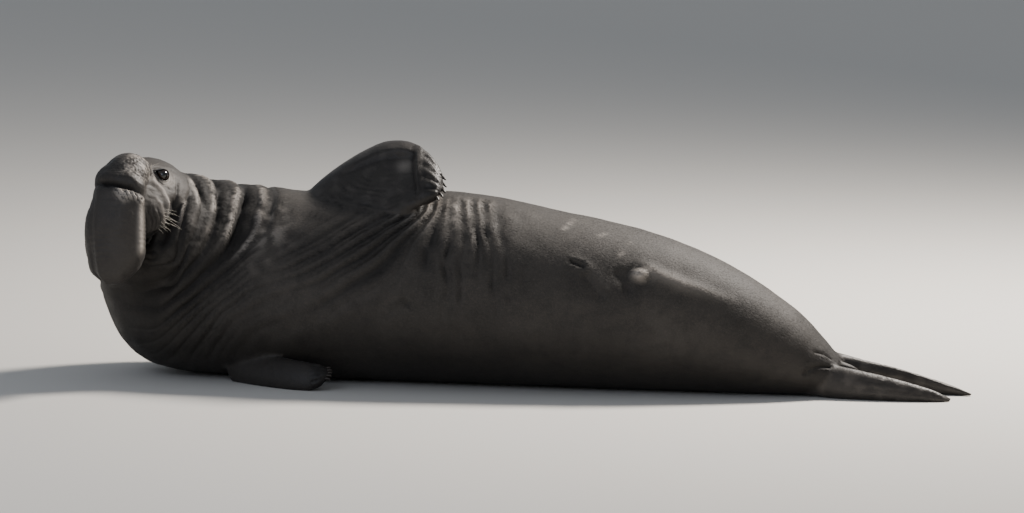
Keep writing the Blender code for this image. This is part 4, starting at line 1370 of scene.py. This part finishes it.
def build_whiskers(skin):
    """Stiff pale pointed whiskers from the pads beside the nose and over the eyes, bent back and down."""
    points = points_of(skin.data)
    rng = np.random.default_rng(41)
    share = np.linspace(0.0, 1.0, HAIR_ROWS)
    roots, tips, bends = [], [], []
    for hairs, ahead in HAIRS:
        for forward, left, up, length in hairs:
            for hand in (1, -1):
                root = head_place(forward, hand * left, up) + SHIFT
                root = points[np.argmin(np.linalg.norm(points - root, axis=1))]
                way = np.array(ahead) + rng.normal(0, 0.30, 3)
                length = length * rng.uniform(0.6, 1.15)
                way[2] -= 15.6 * max(0.0, -0.165 - up)
                way = unit(way * [1, hand, 1]) @ HEAD_AXES
                roots.append(root - 0.004 * way)
                tips.append(way * length)
                bends.append((np.array(HAIR_BEND) @ HEAD_AXES) * length)
    roots, tips, bends = (np.array(v)[:, None] for v in (roots, tips, bends))
    paths = roots + share[:, None] * tips + (share**2)[:, None] * bends
    radii = np.tile(WHISKER_RADIUS * (1 - 0.75 * share), (len(paths), 1))
    piece = put("whiskers", mesh_of("whiskers", *tubes(paths, radii, HAIR_SIDES)))
    material, _, shader = new_material("whisker_keratin")
    # Keratin: pale and fairly glossy, so that it catches the light.
    shader.inputs["Base Color"].default_value = linear("#e6dfd0")
    shader.inputs["Roughness"].default_value = 0.30
    finish_piece(piece, material, "claw")


def build_claws():
    """Blunt claws: each is a tube along a bent path, whose radius falls from the root to a round worn tip."""
    material, tree, shader = new_material("claw_horn")
    # Horn: dark, worn smooth, with a dull gloss and a fine cloudy tint.
    place = add_node(tree, "ShaderNodeTexCoord").outputs["Object"]
    noise = add_node(tree, "ShaderNodeTexNoise", Vector=place, Scale=1 / 0.012, Detail=3.0)
    tint = add_node(tree, "ShaderNodeValToRGB", Fac=noise.outputs["Fac"])
    for stop, code in zip(tint.color_ramp.elements, ("#1e1a18", "#3c352f")):
        stop.color = linear(code)
    tree.links.new(tint.outputs["Color"], shader.inputs["Base Color"])
    shader.inputs["Roughness"].default_value = 0.38
    share = np.sin(np.linspace(0.0, math.pi / 2, CLAW_ROWS))
    radius = CLAW_RADIUS * np.sqrt(np.maximum(1 - share**5, 0.02))
    for hand, table in (("left", FORE_LEFT), ("right", FORE_RIGHT)):
        rings, _, tip = flipper_rings(table, 60, 12)
        path = unit(tip - rings[-1].mean(axis=0))
        lead, trail = np.array(table[-1][:3]), np.array(table[-1][3:6])
        bend = np.array(CLAW_BENDS[hand])
        for index, spot in enumerate(np.linspace(*CLAW_SPAN, CLAWS)):
            reach = TIP_REACH * np.linalg.norm(lead - trail) / 2 * math.sin(math.pi * spot) - CLAW_SINK
            root = lead + spot * (trail - lead) + reach * path
            fan = unit(path + CLAW_FAN * (0.5 - spot) * unit(lead - trail))
            middles = root + CLAW_LENGTH * (share[:, None] * fan + CLAW_CURL * share[:, None] ** 2 * bend)
            side = unit(np.cross(fan, bend))
            up = np.cross(side, fan)
            flat = CLAW_FLATNESS * radius
            tile = np.ones((CLAW_ROWS, 1))
            rings = rings_of(middles, side * tile, up * tile, radius, flat, flat, 2.0, 2.0, CLAW_SIDES)
            ends = np.array([middles[0], middles[-1] + 0.0008 * fan])
            quads, caps = tube_faces(CLAW_ROWS, CLAW_SIDES, 0)
            outward = np.cross(side, up) @ fan
            if outward < 0:
                quads, caps = quads[:, ::-1], caps[:, ::-1]
            points = np.concatenate([rings.reshape(-1, 3), ends]) + SHIFT
            name = f"claw_{hand}_{index + 1}"
            piece = put("worn_" + name, mesh_of("worn_" + name, points, quads, caps))
            finish_piece(piece, material, "claw", name)


def build_eyes():
    """Each eye is a ball whose clear front bulges: radius plus a bell of the angle from the gaze."""
    material, tree, shader = new_material("wet_eye")
    # A wet eye: nearly black, with a dark brown ring round a wide pupil, under a mirror-smooth film of tears.
    angle = add_node(tree, "ShaderNodeAttribute", {"attribute_name": "angle"}).outputs["Fac"]
    tint = add_node(tree, "ShaderNodeValToRGB", Fac=angle)
    stops = tint.color_ramp.elements
    for place, code in EYE_COLOURS:
        stop = stops[0] if place == 0.0 else stops.new(place)
        stop.position = place
        stop.color = linear(code)
    stops[-1].color = linear(EYE_COLOURS[-1][1])
    tree.links.new(tint.outputs["Color"], shader.inputs["Base Color"])
    shader.inputs["Roughness"].default_value = 0.04
    shader.inputs["IOR"].default_value = 1.38
    shader.inputs["Coat Weight"].default_value = 1.0
    shader.inputs["Coat Roughness"].default_value = 0.02
    for name, (middle, gaze, outer, _) in zip(("eye_left", "eye_right"), eye_frames()):
        rows, sides = EYE_GRID
        polar = np.linspace(0.0, math.pi, rows + 2)[1:-1]
        turn = np.linspace(0.0, 2 * math.pi, sides, endpoint=False)
        third = np.cross(gaze, outer)
        radius = EYE_RADIUS + EYE_BULGE * bell(polar, 0.42)
        ring = np.cos(turn)[None, :, None] * outer + np.sin(turn)[None, :, None] * third
        ball = np.cos(polar)[:, None, None] * gaze + np.sin(polar)[:, None, None] * ring
        ball = ball * radius[:, None, None]
        ends = np.array([gaze * (EYE_RADIUS + EYE_BULGE), -gaze * EYE_RADIUS])
        quads, caps = tube_faces(rows, sides, 0)
        points = np.concatenate([ball.reshape(-1, 3), ends]) + middle + SHIFT
        piece = put("wet_" + name, mesh_of("wet_" + name, points, quads[:, ::-1], caps[:, ::-1]))
        turned = np.concatenate([np.repeat(polar, sides), [0.0, math.pi]])
        set_attribute(piece.data, "angle", turned / math.pi)
        finish_piece(piece, material, "eye", name)


def linear(code):
    """A colour given as sRGB hex, as linear red, green, blue and 1."""
    parts = [int(code[i : i + 2], 16) / 255 for i in (1, 3, 5)]
    return tuple(c / 12.92 if c <= 0.04045 else ((c + 0.055) / 1.055) ** 2.4 for c in parts) + (1.0,)


def new_material(name):
    """A material with its nodes and its main shader."""
    material = bpy.data.materials.new(name)
    material.use_nodes = True
    tree = material.node_tree
    return material, tree, tree.nodes["Principled BSDF"]


def hide_colour(tree, place):
    """The hide's colours: grey-brown in soft clouds, painted shade in creases, pale on calluses and scars and
    as painted highlight.

    Clouds are about 0.4 m and 60 mm across. The coat's grain is 9 mm, coarser than its 2 mm hairs, to show.
    """

    def cloud(size, detail, low, high):
        noise = add_node(tree, "ShaderNodeTexNoise", Vector=place, Scale=1 / size, Detail=detail)
        ramp = add_node(tree, "ShaderNodeMapRange", Value=noise.outputs["Fac"], _1=low, _2=high)
        return ramp.outputs["Result"]

    def mark(name):
        return add_node(tree, "ShaderNodeAttribute", {"attribute_name": name}).outputs["Fac"]

    def mix(share, under, over):
        item = add_node(tree, "ShaderNodeMix", {"data_type": "RGBA"}, Factor=share)
        for socket, value in ((item.inputs[6], under), (item.inputs[7], over)):
            if isinstance(value, str):
                socket.default_value = linear(value)
            else:
                tree.links.new(value, socket)
        return item.outputs[2]

    def times(value, other):
        return add_node(tree, "ShaderNodeMath", {"operation": "MULTIPLY"}, _0=value, _1=other).outputs[0]

    colour = mix(cloud(0.40, 3.0, 0.35, 0.65), *HIDE_BASE)
    colour = mix(times(cloud(0.060, 4.0, 0.45, 0.75), 0.6), colour, HIDE_PATCHES)
    colour = mix(times(cloud(GRAIN_SIZE, 2.0, 0.45, 0.80), 0.35), colour, HIDE_GRAIN)
    for name, amount, code in HIDE_MARKS:
        colour = mix(times(mark(name), amount), colour, code)
    wet = mark("wet")
    return mix(wet, colour, HIDE_WET_SHADE), mark("bare"), wet


def make_hide(name, furrowed):
    """Seal's hide: stiff short hair that lies flat, grey-brown and nearly matt, over thick creased skin."""
    material, tree, shader = new_material(name)
    place = add_node(tree, "ShaderNodeTexCoord").outputs["Object"]
    colour, bare, wet = hide_colour(tree, place)
    tree.links.new(colour, shader.inputs["Base Color"])
    rough = add_node(tree, "ShaderNodeMapRange", Value=bare, _1=0.0, _2=1.0, _3=0.66, _4=0.46)
    rough = add_node(tree, "ShaderNodeMapRange", Value=wet, _1=0.0, _2=1.0, _3=rough.outputs[0], _4=0.15)
    tree.links.new(rough.outputs["Result"], shader.inputs["Roughness"])
    shader.inputs["IOR"].default_value = 1.45
    shader.inputs["Specular IOR Level"].default_value = 0.35
    shader.inputs["Sheen Weight"].default_value = 0.04
    shader.inputs["Sheen Roughness"].default_value = 0.45
    if furrowed:
        kind = {"feature": "DISTANCE_TO_EDGE"}
        cells = add_node(tree, "ShaderNodeTexVoronoi", kind, Vector=place, Scale=1 / NET_SIZE)
        edge = add_node(tree, "ShaderNodeMapRange", Value=cells.outputs["Distance"], _1=0.0, _2=0.18)
        net = add_node(tree, "ShaderNodeBump", Height=edge.outputs[0], Strength=NET_BUMP, Distance=BUMP_DEPTH)
        grain = add_node(tree, "ShaderNodeTexNoise", Vector=place, Scale=1 / GRAIN_SIZE, Detail=3.0)
        fine = add_node(tree, "ShaderNodeBump", Height=grain.outputs["Fac"], Normal=net.outputs[0])
        fine.inputs["Strength"].default_value = GRAIN_BUMP
        fine.inputs["Distance"].default_value = BUMP_DEPTH
        tree.links.new(fine.outputs[0], shader.inputs["Normal"])
    return material


def build_stage():
    """A pale floor, one wide flat plane, under a soft pale sky."""
    corners = FLOOR_HALF * np.array([[-1, -1, 0], [1, -1, 0], [1, 1, 0], [-1, 1, 0]])
    floor = put("floor", mesh_of("floor", corners, np.array([[0, 1, 2, 3]])))
    material, _, shader = new_material("pale_floor")
    # Matt and pale, so that it throws soft light back onto the belly.
    shader.inputs["Base Color"].default_value = linear("#d9d6d0")
    shader.inputs["Roughness"].default_value = 0.9
    floor.data.materials.append(material)
    world = bpy.data.worlds.new("studio")
    world.use_nodes = True
    background = world.node_tree.nodes["Background"]
    background.inputs["Color"].default_value = linear(SKY[0])
    background.inputs["Strength"].default_value = SKY[1]
    bpy.context.scene.world = world


def area_light(name, place, target, size, power, colour):
    """A round soft light that points at its target."""
    light = bpy.data.lights.new(name, "AREA")
    light.shape = "DISK"
    light.size = size
    light.energy = power
    light.color = linear(colour)[:3]
    item = bpy.data.objects.new(name, light)
    item.location = place
    item.rotation_euler = (Vector(target) - Vector(place)).to_track_quat("-Z", "Y").to_euler()
    bpy.context.scene.collection.objects.link(item)


def build_camera():
    """A long lens at the photo's viewing angle."""
    a, e, r = (math.radians(v) for v in (CAMERA_AZIMUTH, CAMERA_ELEVATION, CAMERA_ROLL))
    back = Vector((math.sin(a) * math.cos(e), -math.cos(a) * math.cos(e), math.sin(e)))
    right = Vector((math.cos(a), math.sin(a), 0))
    up = back.cross(right)
    turned = right * math.cos(r) + up * math.sin(r)
    upright = up * math.cos(r) - right * math.sin(r)
    pose = Matrix((turned, upright, back)).transposed().to_4x4()
    pose.translation = Vector(AIM + SHIFT) + back * CAMERA_DISTANCE
    data = bpy.data.cameras.new("camera")
    data.sensor_width = SENSOR
    data.lens = SENSOR * CAMERA_DISTANCE / (FRAME_WIDTH * PIXEL)
    camera = bpy.data.objects.new("camera", data)
    camera.matrix_world = pose
    bpy.context.scene.collection.objects.link(camera)
    bpy.context.scene.camera = camera


skin = build_skin()
finish_piece(skin, make_hide("seal_hide", True), "fur", *FLESH)
build_coat(skin, COAT_PIECES)
build_whiskers(skin)
build_claws()
build_eyes()
build_stage()
for name, light in LIGHTS.items():
    area_light(name, *light)
build_camera()
